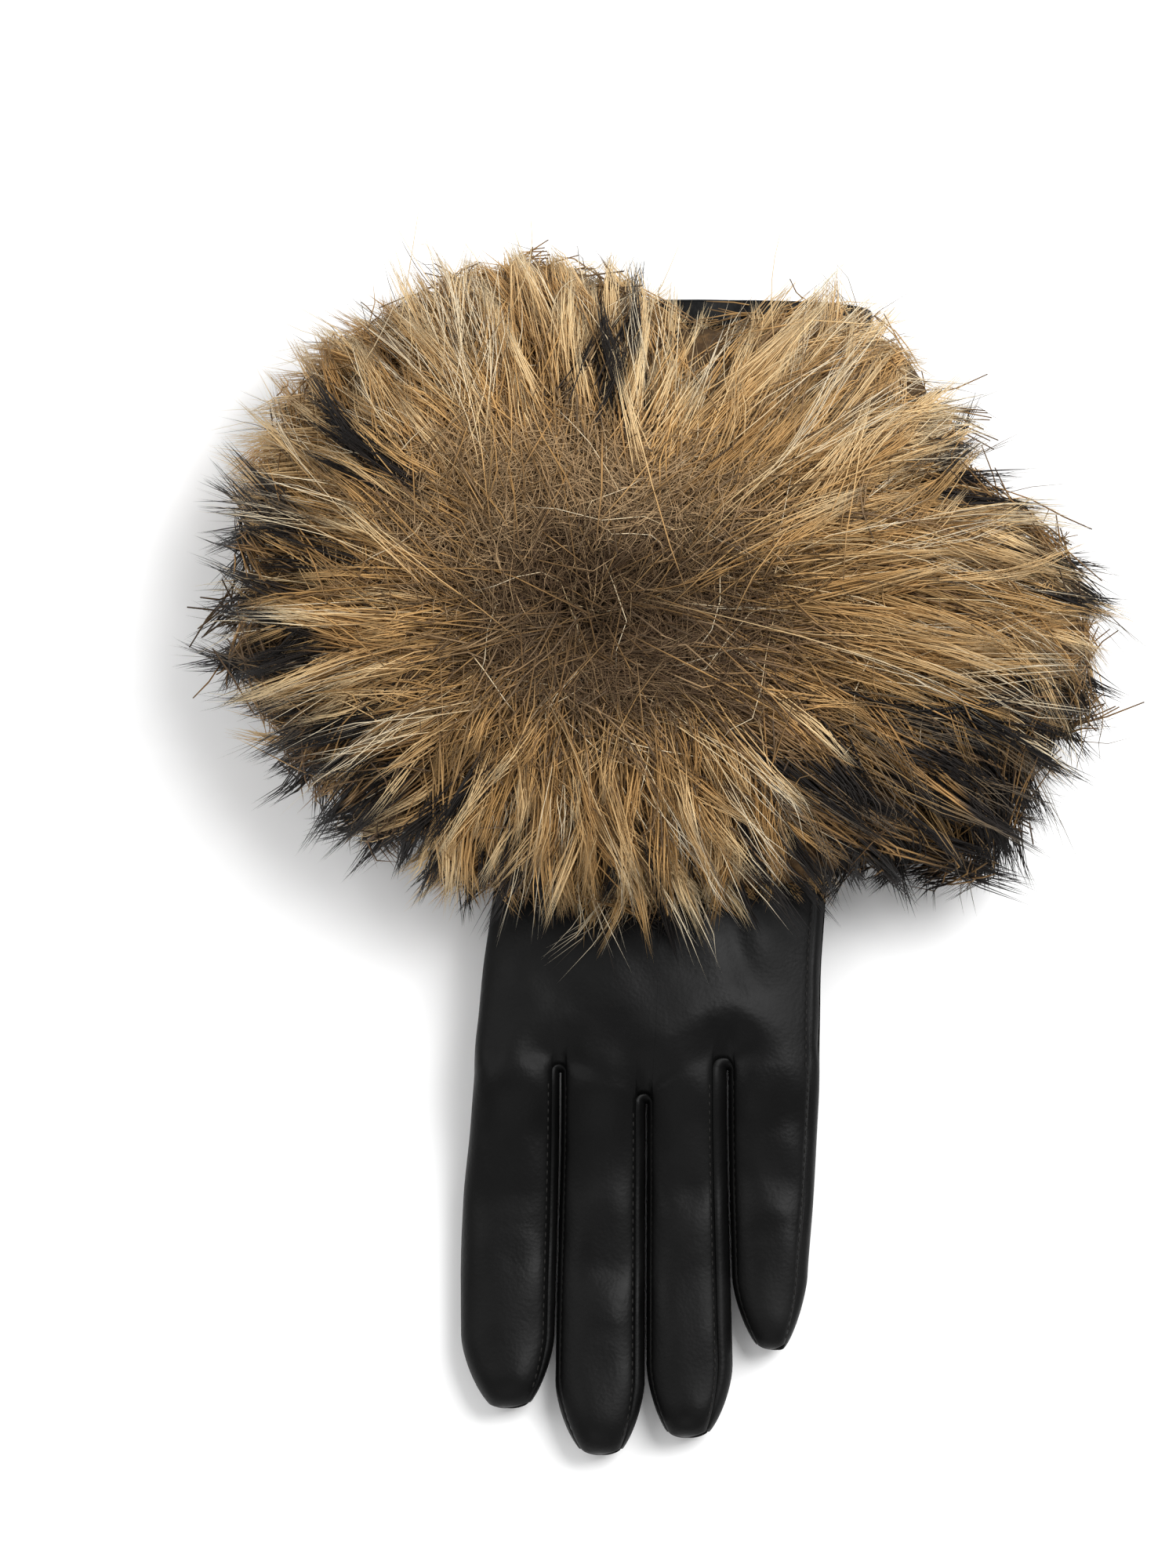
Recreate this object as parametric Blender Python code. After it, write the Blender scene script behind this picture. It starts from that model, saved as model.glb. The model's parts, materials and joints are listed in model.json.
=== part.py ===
"""Left-hand dress glove of smooth leather with a deep fur cuff, lying with its back up.

The hand lies along Y, fingertips toward -Y, opening toward +Y, little finger toward +X.
In the glove's own frame y = 0 is the line of the finger crotches and z = 0 is the table.
"""

import math

import bmesh
import bpy
import numpy as np

MM = 0.001

# Leather
WALL = 1.2 * MM
SEAM_GAP = 0.3 * MM
SQUARENESS = 2.4            # power of the superellipse of every section
TIP_WIDTH_POWER = 1.35      # how a fingertip rounds off seen from above
TIP_HEIGHT_POWER = 2.2      # and seen from the side

# Hand, from the crotch line to the opening
HAND_WIDTH = 83.0 * MM
HAND_THICKNESS = 15.5 * MM
BODY_LENGTH = 187.0 * MM
OPENING_WIDTH = 100.0 * MM
OPENING_THICKNESS = 22.0 * MM
KNUCKLE_RUN = 16.0 * MM     # over which the finger backs fade into the hand
SIDE_SEAM_IN = 2.0 * MM     # little-finger side seam, in from the edge, on the back
FOLD_SEAM_IN = 0.6 * MM     # index side joint, in from the edge, on the underside

# Fingers
FINGER_LENGTH = 86.0 * MM
FINGER_THICKNESS = 13.0 * MM
FINGER_SLIT = 1.0 * MM
TIP_ROUND = 15.0 * MM       # the width rounds off over this run
TIP_FALL = 9.0 * MM         # the height rounds off over this run
STRIP_SHOWING = 3.2 * MM    # most that a fourchette shows on the back of a finger
STRIP_UNDER = 1.6 * MM      # seam of a fourchette on the underside, in from the edge
STRIP_HIDDEN = 0.6 * MM     # its seam on the far side of the next finger's back

# How it lies
FLOOR_CLEAR = 0.2 * MM
DROOP = 3.5 * MM            # the little-finger side sinks beside the thumb
DROOP_FADE = (0.35, 0.20)   # shares of FINGER_LENGTH and BODY_LENGTH over which it fades

# Thumb, folded under the palm
THUMB_LENGTH = 62.0 * MM
THUMB_WIDTH = 23.0 * MM
THUMB_THICKNESS = 9.6 * MM
THUMB_HOLE_LENGTH = 20.0 * MM
THUMB_HEEL = 69.0 * MM      # y of the far side of its hole
THUMB_BASE_X = -24.0 * MM
THUMB_TIP_X = -17.0 * MM
THUMB_BEND = 2.0 * MM       # from the hole's near side to where it turns toward the tip
THUMB_BLUNT = 0.45          # share of its width that the tip keeps

# Hem round the opening
HEM_DEPTH = 6.0 * MM
HEM_WALL = 1.0 * MM

# Fur cuff
FUR_GAP = 0.6 * MM          # backing to leather
FUR_FRONT_TOP = 46.0 * MM   # y where the fur begins on the back
FUR_FRONT_UNDER = 77.0 * MM
FUR_SIDE = 65.0 * MM        # depth of the fur beside the cuff, lock tips included
FUR_TOP = 47.0 * MM
FUR_UNDER = 8.0 * MM        # pressed flat under the cuff
MOUND_POWER = 0.85          # under 1 makes the fur's mound fuller than an ellipsoid
UNDER_SWELL = 1.8           # fullness underneath, in FUR_UNDERs, before the table presses it flat
UNDER_SPREAD = 1.6          # how soon below the cuff's sides the pressed part begins
FUR_EDGE = 0.09             # share of the run from front to rear left to the mound's edges
LOCK_LENGTH = 20.0 * MM
LOCK_STRAY = 0.9 * MM       # a lock's tip wanders by about this
LOCK_TURN = 0.35            # and round the cuff by up to this share of its cell
LOCK_LEAN = (1.10, 1.22)    # how far it leans toward the nearer edge of the fur
LOCK_REACH = (0.70, 1.10)   # shares of LOCK_LENGTH
LOCK_STEPS = ((0.45, 0.66), (1.0, 0.14))    # share of the way up, share of the cell's width
FUR_SEED = 7

# Mesh counts
FINGER_COLUMNS = 5
CROTCH_TURNS = 4
FINGER_ROWS = 9
HAND_ROWS = 11
STRIP_COLUMNS = 3
THUMB_SIDES = 16
FUR_SIDES = 25
FUR_RINGS = 9
HEEL_RINGS = 5
THUMB_RINGS = 8
TIP_CROWDING = 1.7          # over 1 crowds the rows toward a fingertip
KNUCKLE_CROWDING = 1.25     # over 1 crowds the rows toward the knuckles

# Edges of the hand seen from above. run: share of FINGER_LENGTH below the crotch line and
# of BODY_LENGTH above it. left, right: shares of HAND_WIDTH.
OUTLINE = (
    # run,   left,   right
    (-1.00, -0.545, 0.405),
    (-0.70, -0.553, 0.425),
    (-0.50, -0.555, 0.436),
    (-0.30, -0.548, 0.453),
    (-0.12, -0.529, 0.464),
    (0.00, -0.518, 0.470),
    (0.14, -0.494, 0.475),
    (0.27, -0.460, 0.492),
    (0.45, -0.455, 0.490),
    (1.00, -0.455, 0.490),
)
FLARE_START = 0.45          # share of BODY_LENGTH where the cuff starts to widen

# Height of the underside. lift: share of the thumb's stack below the palm.
LIE = (
    # run,   lift
    (-1.00, 0.00),
    (-0.55, 0.00),
    (-0.30, 0.14),
    (-0.12, 0.50),
    (0.04, 1.00),
    (0.40, 1.00),
    (1.00, 1.00),
)
CUFF_LIE = (0.38, 0.50)     # shares of BODY_LENGTH between which it sinks onto the pressed fur

# Slits between fingers. x, far_x: shares of HAND_WIDTH at the crotch and at the tips.
# y: share of FINGER_LENGTH.
SLITS = (
    # name,           x,      y,      far_x
    ("index_middle", -0.270, 0.040, -0.288),
    ("middle_ring", -0.025, -0.043, -0.028),
    ("ring_little", 0.207, 0.048, 0.225),
)

# Fingers. tip_x: share of HAND_WIDTH. reach: share of FINGER_LENGTH. blunt: share of the
# finger's width that the tip keeps. showing: share of STRIP_SHOWING at its right edge.
FINGERS = (
    # name,    tip_x, reach, blunt, showing
    ("index", -0.415, 0.872, 0.56, 0.42),
    ("middle", -0.153, 1.000, 0.46, 0.60),
    ("ring", 0.092, 0.953, 0.38, 1.00),
    ("little", 0.334, 0.712, 0.34, 0.00),
)

# Folds and soft swellings of the back. x, y: centre as shares of HAND_WIDTH and BODY_LENGTH.
# long, broad: half sizes as shares of HAND_WIDTH. depth: share of WALL, minus is a swelling.
FOLDS = (
    # x,      y,     turn,  long,  broad, depth
    (-0.169, 0.075, -44.0, 0.230, 0.050, 0.95),
    (0.240, 0.176, -72.0, 0.130, 0.042, 0.70),
    (-0.385, 0.130, 80.0, 0.160, 0.070, -0.45),
    (-0.060, 0.170, 20.0, 0.180, 0.090, -0.50),
    (0.280, 0.090, -30.0, 0.140, 0.060, -0.45),
    (-0.420, -0.140, 10.0, 0.080, 0.040, 0.60),
    (-0.150, -0.230, -8.0, 0.080, 0.050, 0.60),
    (0.090, -0.130, 12.0, 0.080, 0.040, 0.55),
    (0.330, -0.110, -15.0, 0.080, 0.050, 0.55),
)


def clear_scene():
    """Start from an empty scene."""
    for old in list(bpy.data.objects):
        bpy.data.objects.remove(old, do_unlink=True)


def plain_material(name, colour, roughness):
    """Matt or softly shining material of one colour."""
    material = bpy.data.materials.new(name)
    material.use_nodes = True
    shader = material.node_tree.nodes["Principled BSDF"]
    shader.inputs["Base Color"].default_value = (*colour, 1.0)
    shader.inputs["Roughness"].default_value = roughness
    shader.inputs["Metallic"].default_value = 0.0
    return material


def ease(share):
    """Smooth step from 0 to 1."""
    share = np.clip(share, 0.0, 1.0)
    return share * share * (3.0 - 2.0 * share)


def blend(first, second, share):
    """Straight mix of two values."""
    return first + (second - first) * share


def through(rows, column, at):
    """Read a table's column between its rows with a cubic that doesn't overshoot."""
    xs = np.array([row[0] for row in rows])
    ys = np.array([row[column] for row in rows])
    steps = np.diff(xs)
    rises = np.diff(ys) / steps
    slopes = np.zeros_like(ys)
    same_way = rises[:-1] * rises[1:] > 0.0
    mean = 2.0 * rises[:-1] * rises[1:] / np.where(same_way, rises[:-1] + rises[1:], 1.0)
    slopes[1:-1] = np.where(same_way, mean, 0.0)
    at = np.clip(np.asarray(at, dtype=float), xs[0], xs[-1])
    cell = np.clip(np.searchsorted(xs, at) - 1, 0, len(steps) - 1)
    t = (at - xs[cell]) / steps[cell]
    low = (1.0 + 2.0 * t) * (1.0 - t) ** 2 * ys[cell] + t * t * (3.0 - 2.0 * t) * ys[cell + 1]
    turn = t * (1.0 - t) ** 2 * slopes[cell] - t * t * (1.0 - t) * slopes[cell + 1]
    return low + turn * steps[cell]


def run_at(y):
    """Share of the finger length below the crotch line, of the body above it."""
    y = np.asarray(y, dtype=float)
    return np.where(y < 0.0, y / FINGER_LENGTH, y / BODY_LENGTH)


def power(value, exponent):
    """Signed power."""
    return np.sign(value) * np.abs(value) ** exponent


def side_angle(inset, half_width):
    """Angle of a seam that lies inset from the edge. Minus is past the side line."""
    share = np.clip(1.0 - np.abs(inset) / half_width, 0.0, 1.0)
    return np.sign(inset) * np.arccos(share ** (SQUARENESS / 2.0))


def hand_edges(y):
    """Left and right x of the hand at y, with the cuff's flare."""
    run = run_at(y)
    left = through(OUTLINE, 1, run) * HAND_WIDTH
    right = through(OUTLINE, 2, run) * HAND_WIDTH
    middle = (left + right) / 2.0
    flare = ease((run - FLARE_START) / (1.0 - FLARE_START))
    left = blend(left, middle - OPENING_WIDTH / 2.0, flare)
    right = blend(right, middle + OPENING_WIDTH / 2.0, flare)
    return left, right


def lift_at(y):
    """Height of the underside over the table."""
    run = run_at(y)
    over_thumb = THUMB_THICKNESS + 2.0 * SEAM_GAP
    over_fur = FUR_UNDER + FUR_GAP + SEAM_GAP
    lift = FLOOR_CLEAR + SEAM_GAP + (over_thumb - FLOOR_CLEAR) * through(LIE, 1, run)
    sink = ease((run - CUFF_LIE[0]) / (CUFF_LIE[1] - CUFF_LIE[0]))
    return blend(lift, over_fur, sink)


def droop_at(x, y):
    """How far the little-finger side sinks beside the thumb."""
    beside = ease(x / (HAND_WIDTH / 2.0))
    below, above = DROOP_FADE
    along = ease(y / (below * FINGER_LENGTH) + 1.0) * (1.0 - ease(y / (above * BODY_LENGTH) - 1.0))
    return DROOP * beside * along


def fold_at(x, y):
    """Depth of the folds at a place on the back."""
    depth = np.zeros(np.broadcast(x, y).shape)
    for x_share, y_share, turn, long, broad, share in FOLDS:
        across = x - x_share * HAND_WIDTH
        along = y - y_share * BODY_LENGTH
        cosine = math.cos(math.radians(turn))
        sine = math.sin(math.radians(turn))
        u = (across * cosine + along * sine) / (long * HAND_WIDTH)
        v = (along * cosine - across * sine) / (broad * HAND_WIDTH)
        depth = depth + share * WALL * np.exp(-u * u - v * v)
    return depth


def hand_half_height(y):
    """Half thickness of the hand, growing toward the opening."""
    flare = ease((run_at(y) - FLARE_START) / (1.0 - FLARE_START))
    return blend(HAND_THICKNESS, OPENING_THICKNESS, flare) / 2.0


def place(x, y, middle, up, half_height, face):
    """Join coordinates, sink the far side and the folds, and open the seams."""
    upper = np.clip(up / np.maximum(half_height, SEAM_GAP), 0.0, 1.0)
    z = middle + up - droop_at(x, y) - fold_at(x, y) * upper + face * SEAM_GAP / 2.0
    return np.stack(np.broadcast_arrays(x, y, z), axis=-1)


def hand_point(angle, y, inset, face):
    """Point of the hand's tube. Angle 0 is the little-finger side, a quarter turn the top."""
    left, right = hand_edges(y)
    half_height = hand_half_height(y)
    x = (left + right) / 2.0
    x = x + ((right - left) / 2.0 - inset) * power(np.cos(angle), 2.0 / SQUARENESS)
    inner_half = half_height - inset
    up = face * inner_half * power(np.sin(angle), 2.0 / SQUARENESS)
    return place(x, y, lift_at(y) + half_height, up, inner_half, face)


def tip_round(share, exponent):
    """Rounding from 0 at the very tip to 1 where the finger is full."""
    share = np.clip(share, 0.0, 1.0)
    return (1.0 - (1.0 - share) ** exponent) ** (1.0 / exponent)


def slit_x(number, y):
    """Centre line of the slit on the right of finger number."""
    name, x, y_share, far_x = SLITS[number]
    return blend(x, far_x, ease((y_share * FINGER_LENGTH - y) / FINGER_LENGTH)) * HAND_WIDTH


def crotch_y(number):
    """Height along the hand of the crotch on the right of finger number."""
    number = min(max(number, 0), len(SLITS) - 1)
    return SLITS[number][2] * FINGER_LENGTH


def finger_section(number, y, inset):
    """Centre x, half width and half height of a finger at y, and its fullness there."""
    name, tip_x, reach, blunt, showing = FINGERS[number]
    left, right = hand_edges(y)
    if number > 0:
        left = slit_x(number - 1, y) + FINGER_SLIT / 2.0
    if number < len(SLITS):
        right = slit_x(number, y) - FINGER_SLIT / 2.0
    from_tip = y + reach * FINGER_LENGTH - inset
    fullness = tip_round(from_tip / TIP_ROUND, TIP_WIDTH_POWER)
    centre = blend(tip_x * HAND_WIDTH, (left + right) / 2.0, fullness)
    half_width = ((right - left) / 2.0 - inset) * blend(blunt, 1.0, fullness)
    half_height = FINGER_THICKNESS / 2.0 - inset
    half_height = half_height * tip_round(from_tip / TIP_FALL, TIP_HEIGHT_POWER)
    return centre, half_width, half_height, fullness


def finger_middle_height(y):
    """Height of a finger's middle over the table."""
    return lift_at(y) + FINGER_THICKNESS / 2.0


def seam_angle(number, side, face, y):
    """Angle at which a panel ends on one side of a finger, from the side line up its own face."""
    centre, half_width, half_height, fullness = finger_section(number, y, 0.0)
    showing = FINGERS[number][4]
    if side < 0 and number == 0:
        inset = -face * FOLD_SEAM_IN
    elif side > 0 and number == len(SLITS):
        inset = face * SIDE_SEAM_IN
    elif face < 0:
        inset = STRIP_UNDER
    elif side > 0:
        inset = showing * STRIP_SHOWING
    else:
        inset = STRIP_HIDDEN
    return side_angle(inset * fullness, half_width)


def finger_point(number, angle, y, inset, face):
    """Point of a finger's tube."""
    centre, half_width, half_height, fullness = finger_section(number, y, inset)
    x = centre + half_width * power(np.cos(angle), 2.0 / SQUARENESS)
    up = face * half_height * power(np.sin(angle), 2.0 / SQUARENESS)
    return place(x, y, finger_middle_height(y), up, half_height, face)


def finger_rows(number, base, inset):
    """y of every row of a finger, crowded near the tip, for a wall inset by so much."""
    steps = np.linspace(0.0, 1.0, FINGER_ROWS + 1)
    shares = 1.0 - (1.0 - steps) ** TIP_CROWDING
    tip = inset - FINGERS[number][2] * FINGER_LENGTH
    return blend(np.asarray(base)[None, :], tip, shares[:, None])


def finger_block(number, face, inset):
    """Grid of one panel on one finger: rows from the crotch to the tip, columns left to right."""
    columns = np.linspace(0.0, 1.0, FINGER_COLUMNS + 1)
    base = blend(crotch_y(number - 1), crotch_y(number), columns)
    y = finger_rows(number, base, 0.0)
    left = math.pi - seam_angle(number, -1, face, y[:, :1])
    right = seam_angle(number, 1, face, y[:, -1:])
    angle = blend(left, right, columns[None, :])
    return finger_point(number, angle, finger_rows(number, base, inset), inset, face)


def turn_points(number, left_edge, right_edge, turns):
    """Points round a crotch between two edge points, as angles of turn about the slit's end."""
    centre_x = slit_x(number, crotch_y(number))
    left_radius = centre_x - left_edge[..., 0]
    right_radius = right_edge[..., 0] - centre_x
    points = []
    for turn in turns:
        share = turn / math.pi
        radius = left_radius if share < 0.5 else right_radius
        x = centre_x - radius * math.cos(turn)
        y = crotch_y(number) + blend(left_radius, right_radius, share) * math.sin(turn)
        z = blend(left_edge[..., 2], right_edge[..., 2], share)
        points.append(np.stack(np.broadcast_arrays(x, y, z), axis=-1))
    return points


def knuckle_row(face, inset):
    """Finger blocks of a panel, and its row of points across the knuckles and round the crotches."""
    blocks = [finger_block(number, face, inset) for number in range(len(FINGERS))]
    turns = np.linspace(0.0, math.pi, CROTCH_TURNS + 1)[1:-1]
    row = []
    for number, block in enumerate(blocks):
        row.extend(block[0])
        if number < len(SLITS):
            row.extend(turn_points(number, block[0, -1], blocks[number + 1][0, 0], turns))
    return blocks, np.array(row)


def row_heights(row):
    """y of every row of a panel's hand, from its knuckle row to the opening."""
    shares = np.linspace(0.0, 1.0, HAND_ROWS + 1)[:, None] ** KNUCKLE_CROWDING
    return blend(row[None, :, 1], BODY_LENGTH, shares)


def panel_points(face, inset):
    """All points of a panel: the hand's grid from the knuckle row, then the four fingers."""
    blocks, start = knuckle_row(face, inset)
    y = row_heights(start)
    hand = hand_point(column_angles(face)[None, :], y, inset, face)
    knuckle = np.broadcast_to(start[None], hand.shape).copy()
    knuckle[..., 1] = y
    knuckle[..., 2] += lift_at(y) - lift_at(start[None, :, 1])
    fade = 1.0 - ease((y - start[None, :, 1]) / KNUCKLE_RUN)
    hand = blend(hand, knuckle, fade[..., None])
    return hand, blocks


def column_angles(face):
    """Angle round the hand of each column of a panel, so that it runs straight up the hand."""
    row = knuckle_row(face, 0.0)[1]
    left, right = hand_edges(row[:, 1])
    share = (row[:, 0] - (left + right) / 2.0) / ((right - left) / 2.0)
    angles = np.arccos(power(np.clip(share, -1.0, 1.0), SQUARENESS / 2.0))
    half_width = HAND_WIDTH / 2.0
    angles[0] = math.pi - side_angle(-face * FOLD_SEAM_IN, half_width)
    angles[-1] = side_angle(face * SIDE_SEAM_IN, half_width)
    return angles


def grid_faces(numbers):
    """Quads of a grid of vertex numbers."""
    faces = []
    for low, high in zip(numbers[:-1], numbers[1:]):
        for column in range(len(low) - 1):
            faces.append((low[column], low[column + 1], high[column + 1], high[column]))
    return faces


def add_object(name, points, faces, material, frame):
    """Make a closed mesh object whose faces look outward."""
    mesh = bpy.data.meshes.new(name)
    mesh.from_pydata([tuple(float(value) for value in point) for point in points], [], faces)
    shape = bmesh.new()
    shape.from_mesh(mesh)
    bmesh.ops.recalc_face_normals(shape, faces=shape.faces)
    shape.to_mesh(mesh)
    shape.free()
    mesh.materials.append(material)
    item = bpy.data.objects.new(name, mesh)
    item.parent = frame
    bpy.context.scene.collection.objects.link(item)
    return item


def thick_sheet(name, outer, inner, faces, material, frame):
    """Close two like sheets into one wall, with a rim along every free edge."""
    count = len(outer)
    used = set()
    for face in faces:
        for start, end in zip(face, face[1:] + face[:1]):
            used.add((start, end))
    closed = list(faces)
    closed.extend(tuple(count + corner for corner in reversed(face)) for face in faces)
    for start, end in sorted(used):
        if (end, start) not in used:
            closed.append((end, start, count + start, count + end))
    return add_object(name, list(outer) + list(inner), closed, material, frame)


def panel(name, face, material, frame):
    """One leather panel: the hand and four fingers in one sheet, slit between the fingers."""
    sheets = []
    for inset in (0.0, WALL):
        hand, blocks = panel_points(face, inset)
        points = list(hand.reshape(-1, 3))
        for block in blocks:
            points.extend(block[1:].reshape(-1, 3))
        sheets.append(points)
    columns = hand.shape[1]
    numbers = np.arange(hand.shape[0] * columns).reshape(-1, columns)
    faces = grid_faces(numbers.tolist())
    first = numbers.size
    for number in range(len(FINGERS)):
        left = number * (FINGER_COLUMNS + CROTCH_TURNS)
        base = numbers[0, left:left + FINGER_COLUMNS + 1]
        count = FINGER_ROWS * (FINGER_COLUMNS + 1)
        rest = np.arange(first, first + count).reshape(FINGER_ROWS, -1)
        first += count
        rows = np.vstack([rest[::-1], base[None]])
        faces.extend(grid_faces(rows.tolist()))
    return thick_sheet(name, sheets[0], sheets[1], faces, material, frame)


def strip_arm(number, side, inset):
    """Side wall of a finger between its two seams, from the crotch to just short of the tip."""
    crotch = [crotch_y(number if side > 0 else number - 1)]
    seam_y = finger_rows(number, crotch, 0.0)[:-1, 0]
    y = finger_rows(number, crotch, inset)[:-1, 0]
    centre, half_width, half_height, fullness = finger_section(number, y, inset)
    top = half_height * power(np.sin(seam_angle(number, side, 1, seam_y)), 2.0 / SQUARENESS)
    low = -half_height * power(np.sin(seam_angle(number, side, -1, seam_y)), 2.0 / SQUARENESS)
    trim = SEAM_GAP / 2.0
    down = np.linspace(0.0, 1.0, STRIP_COLUMNS + 1)
    up = blend((top - trim)[:, None], (low + trim)[:, None], down[None, :])
    fill = np.clip(np.abs(up) / half_height[:, None], 0.0, 1.0)
    out = half_width[:, None] * (1.0 - fill ** SQUARENESS) ** (1.0 / SQUARENESS)
    x = centre[:, None] + side * out
    y = np.broadcast_to(y[:, None], x.shape)
    return place(x, y, finger_middle_height(y), up, half_height[:, None], 0)


def fourchette(number, material, frame):
    """Strip that walls the facing sides of two fingers and turns round at their crotch."""
    sheets = []
    for inset in (0.0, WALL):
        left = strip_arm(number, 1, inset)
        right = strip_arm(number + 1, -1, inset)
        turns = np.linspace(0.0, math.pi, CROTCH_TURNS + 1)[1:-1]
        middle = turn_points(number, left[0], right[0], turns)
        sheets.append(np.concatenate([left[::-1], np.array(middle), right]))
    rows, columns = sheets[0].shape[:2]
    faces = grid_faces(np.arange(rows * columns).reshape(rows, columns).tolist())
    outer = sheets[0].reshape(-1, 3)
    inner = sheets[1].reshape(-1, 3)
    return thick_sheet("fourchette_" + SLITS[number][0], outer, inner, faces, material, frame)


def thumb_rings(inset):
    """Rings of the thumb from its open end under the palm, round the heel, to the tip."""
    turn = np.linspace(0.0, 2.0 * math.pi, THUMB_SIDES, endpoint=False)
    across = power(np.cos(turn), 2.0 / SQUARENESS)
    along = power(np.sin(turn), 2.0 / SQUARENESS)
    tip = THUMB_HEEL - THUMB_LENGTH
    mouth = THUMB_HEEL - THUMB_HOLE_LENGTH
    bend = mouth - THUMB_BEND
    rings = []
    for lean in np.linspace(0.0, math.pi / 2.0, HEEL_RINGS):
        flat = math.cos(lean) / (THUMB_HEEL - bend)
        steep = math.sin(lean) / THUMB_THICKNESS
        reach = 1.0 / math.hypot(flat, steep)
        direction = np.array([math.cos(lean), -math.sin(lean)])
        near = np.array([blend(mouth, bend, lean / (math.pi / 2.0)), THUMB_THICKNESS])
        far = np.array([bend, THUMB_THICKNESS]) + reach * direction
        span = far - near
        size = np.hypot(*span) / 2.0
        centre = (near + far) / 2.0
        offset = (size - inset) * along[:, None] * (span / (2.0 * size))[None, :]
        y = centre[0] - offset[:, 0]
        z = centre[1] - offset[:, 1]
        x = THUMB_BASE_X + (THUMB_WIDTH / 2.0 - inset) * across
        rings.append(np.stack([x, y, z], axis=-1))
    steps = np.linspace(0.0, 1.0, THUMB_RINGS)[1:]
    for share in 1.0 - (1.0 - steps) ** TIP_CROWDING:
        y = blend(bend, tip + inset, share)
        from_tip = y - tip - inset
        fullness = tip_round(from_tip / TIP_ROUND, TIP_WIDTH_POWER)
        centre = blend(THUMB_BASE_X, THUMB_TIP_X, ease(share))
        half_width = (THUMB_WIDTH / 2.0 - inset) * blend(THUMB_BLUNT, 1.0, fullness)
        half_height = THUMB_THICKNESS / 2.0 - inset
        half_height = half_height * tip_round(from_tip / TIP_FALL, TIP_HEIGHT_POWER)
        half_height = np.maximum(half_height, SEAM_GAP)
        x = centre + half_width * across
        z = THUMB_THICKNESS / 2.0 + half_height * along
        rings.append(np.stack(np.broadcast_arrays(x, y, z), axis=-1))
    return np.array(rings)


def thumb(material, frame):
    """Thumb tube, closed at the tip, its open end draped against the palm round the hole."""
    sheets = []
    for inset in (0.0, WALL):
        rings = thumb_rings(inset)
        rings[0, :, 2] = palm_under(rings[0, :, 0], rings[0, :, 1]) - SEAM_GAP
        sheets.append(rings.reshape(-1, 3))
    count = len(rings)
    numbers = np.arange(count * THUMB_SIDES).reshape(count, THUMB_SIDES)
    numbers = np.hstack([numbers, numbers[:, :1]])
    faces = grid_faces(numbers.tolist())
    faces.append(tuple(numbers[-1, :-1].tolist()))
    return thick_sheet("thumb", sheets[0], sheets[1], faces, material, frame)


def palm_under(x, y):
    """Height of the palm's underside at a place."""
    left, right = hand_edges(y)
    share = np.clip(np.abs(x - (left + right) / 2.0) / ((right - left) / 2.0), 0.0, 1.0)
    half_height = hand_half_height(y)
    down = half_height * (1.0 - share ** SQUARENESS) ** (1.0 / SQUARENESS)
    return lift_at(y) + half_height - down - droop_at(x, y) - SEAM_GAP / 2.0


def cut_thumb_hole(palm, frame):
    """Cut the thumb's oval hole through the palm."""
    sides = 2 * THUMB_SIDES
    turn = np.linspace(0.0, 2.0 * math.pi, sides, endpoint=False)
    x = THUMB_BASE_X + (THUMB_WIDTH / 2.0 - WALL) * np.cos(turn)
    y = THUMB_HEEL - THUMB_HOLE_LENGTH / 2.0 + (THUMB_HOLE_LENGTH / 2.0 - WALL) * np.sin(turn)
    points = []
    for z in (0.0, THUMB_THICKNESS + HAND_THICKNESS / 2.0):
        points.extend(zip(x, y, np.full(sides, z)))
    faces = [tuple(reversed(range(sides))), tuple(range(sides, 2 * sides))]
    for corner in range(sides):
        following = (corner + 1) % sides
        faces.append((corner, following, sides + following, sides + corner))
    cutter = add_object("thumb_hole_cutter", points, faces, palm.data.materials[0], frame)
    cutter.hide_render = True
    cutter.display_type = "WIRE"
    cut = palm.modifiers.new("thumb hole", "BOOLEAN")
    cut.operation = "DIFFERENCE"
    cut.object = cutter


def cuff_turns():
    """Turn round the cuff of each point of a cuff ring, falling through one full turn."""
    back = column_angles(1)
    palm = column_angles(-1)[::-1]
    return np.concatenate([back, -palm])


def cuff_points(y, outset):
    """Ring round the cuff that follows both panels' own columns, at a y of its own for each."""
    back = column_angles(1)
    palm = column_angles(-1)[::-1]
    upper = hand_point(back, y[:len(back)], -outset, 1)
    lower = hand_point(palm, y[len(back):], -outset, -1)
    return np.concatenate([upper, lower])


def ring_faces(first, second, count):
    """Quads between two rings of the same count, by their first vertex numbers."""
    faces = []
    for corner in range(count):
        following = (corner + 1) % count
        faces.append((first + corner, first + following, second + following, second + corner))
    return faces


def cuff_hem(material, frame):
    """Folded hem: a channel of leather over the panels' ends, all round the opening."""
    near = BODY_LENGTH - HEM_DEPTH
    end = BODY_LENGTH + SEAM_GAP
    outside = SEAM_GAP
    inside = -WALL - SEAM_GAP
    profile = (
        (near, outside),
        (near, outside + HEM_WALL),
        (end + HEM_WALL / 2.0, outside + HEM_WALL),
        (end + HEM_WALL, (outside + inside) / 2.0),
        (end + HEM_WALL / 2.0, inside - HEM_WALL),
        (near, inside - HEM_WALL),
        (near, inside),
        (end, inside),
        (end, outside),
    )
    count = len(cuff_turns())
    rings = [cuff_points(np.full(count, y), outset) for y, outset in profile]
    points = np.concatenate(rings)
    faces = []
    for number in range(len(rings)):
        following = (number + 1) % len(rings)
        faces.extend(ring_faces(number * count, following * count, count))
    return add_object("cuff_hem", points, faces, material, frame)


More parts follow.
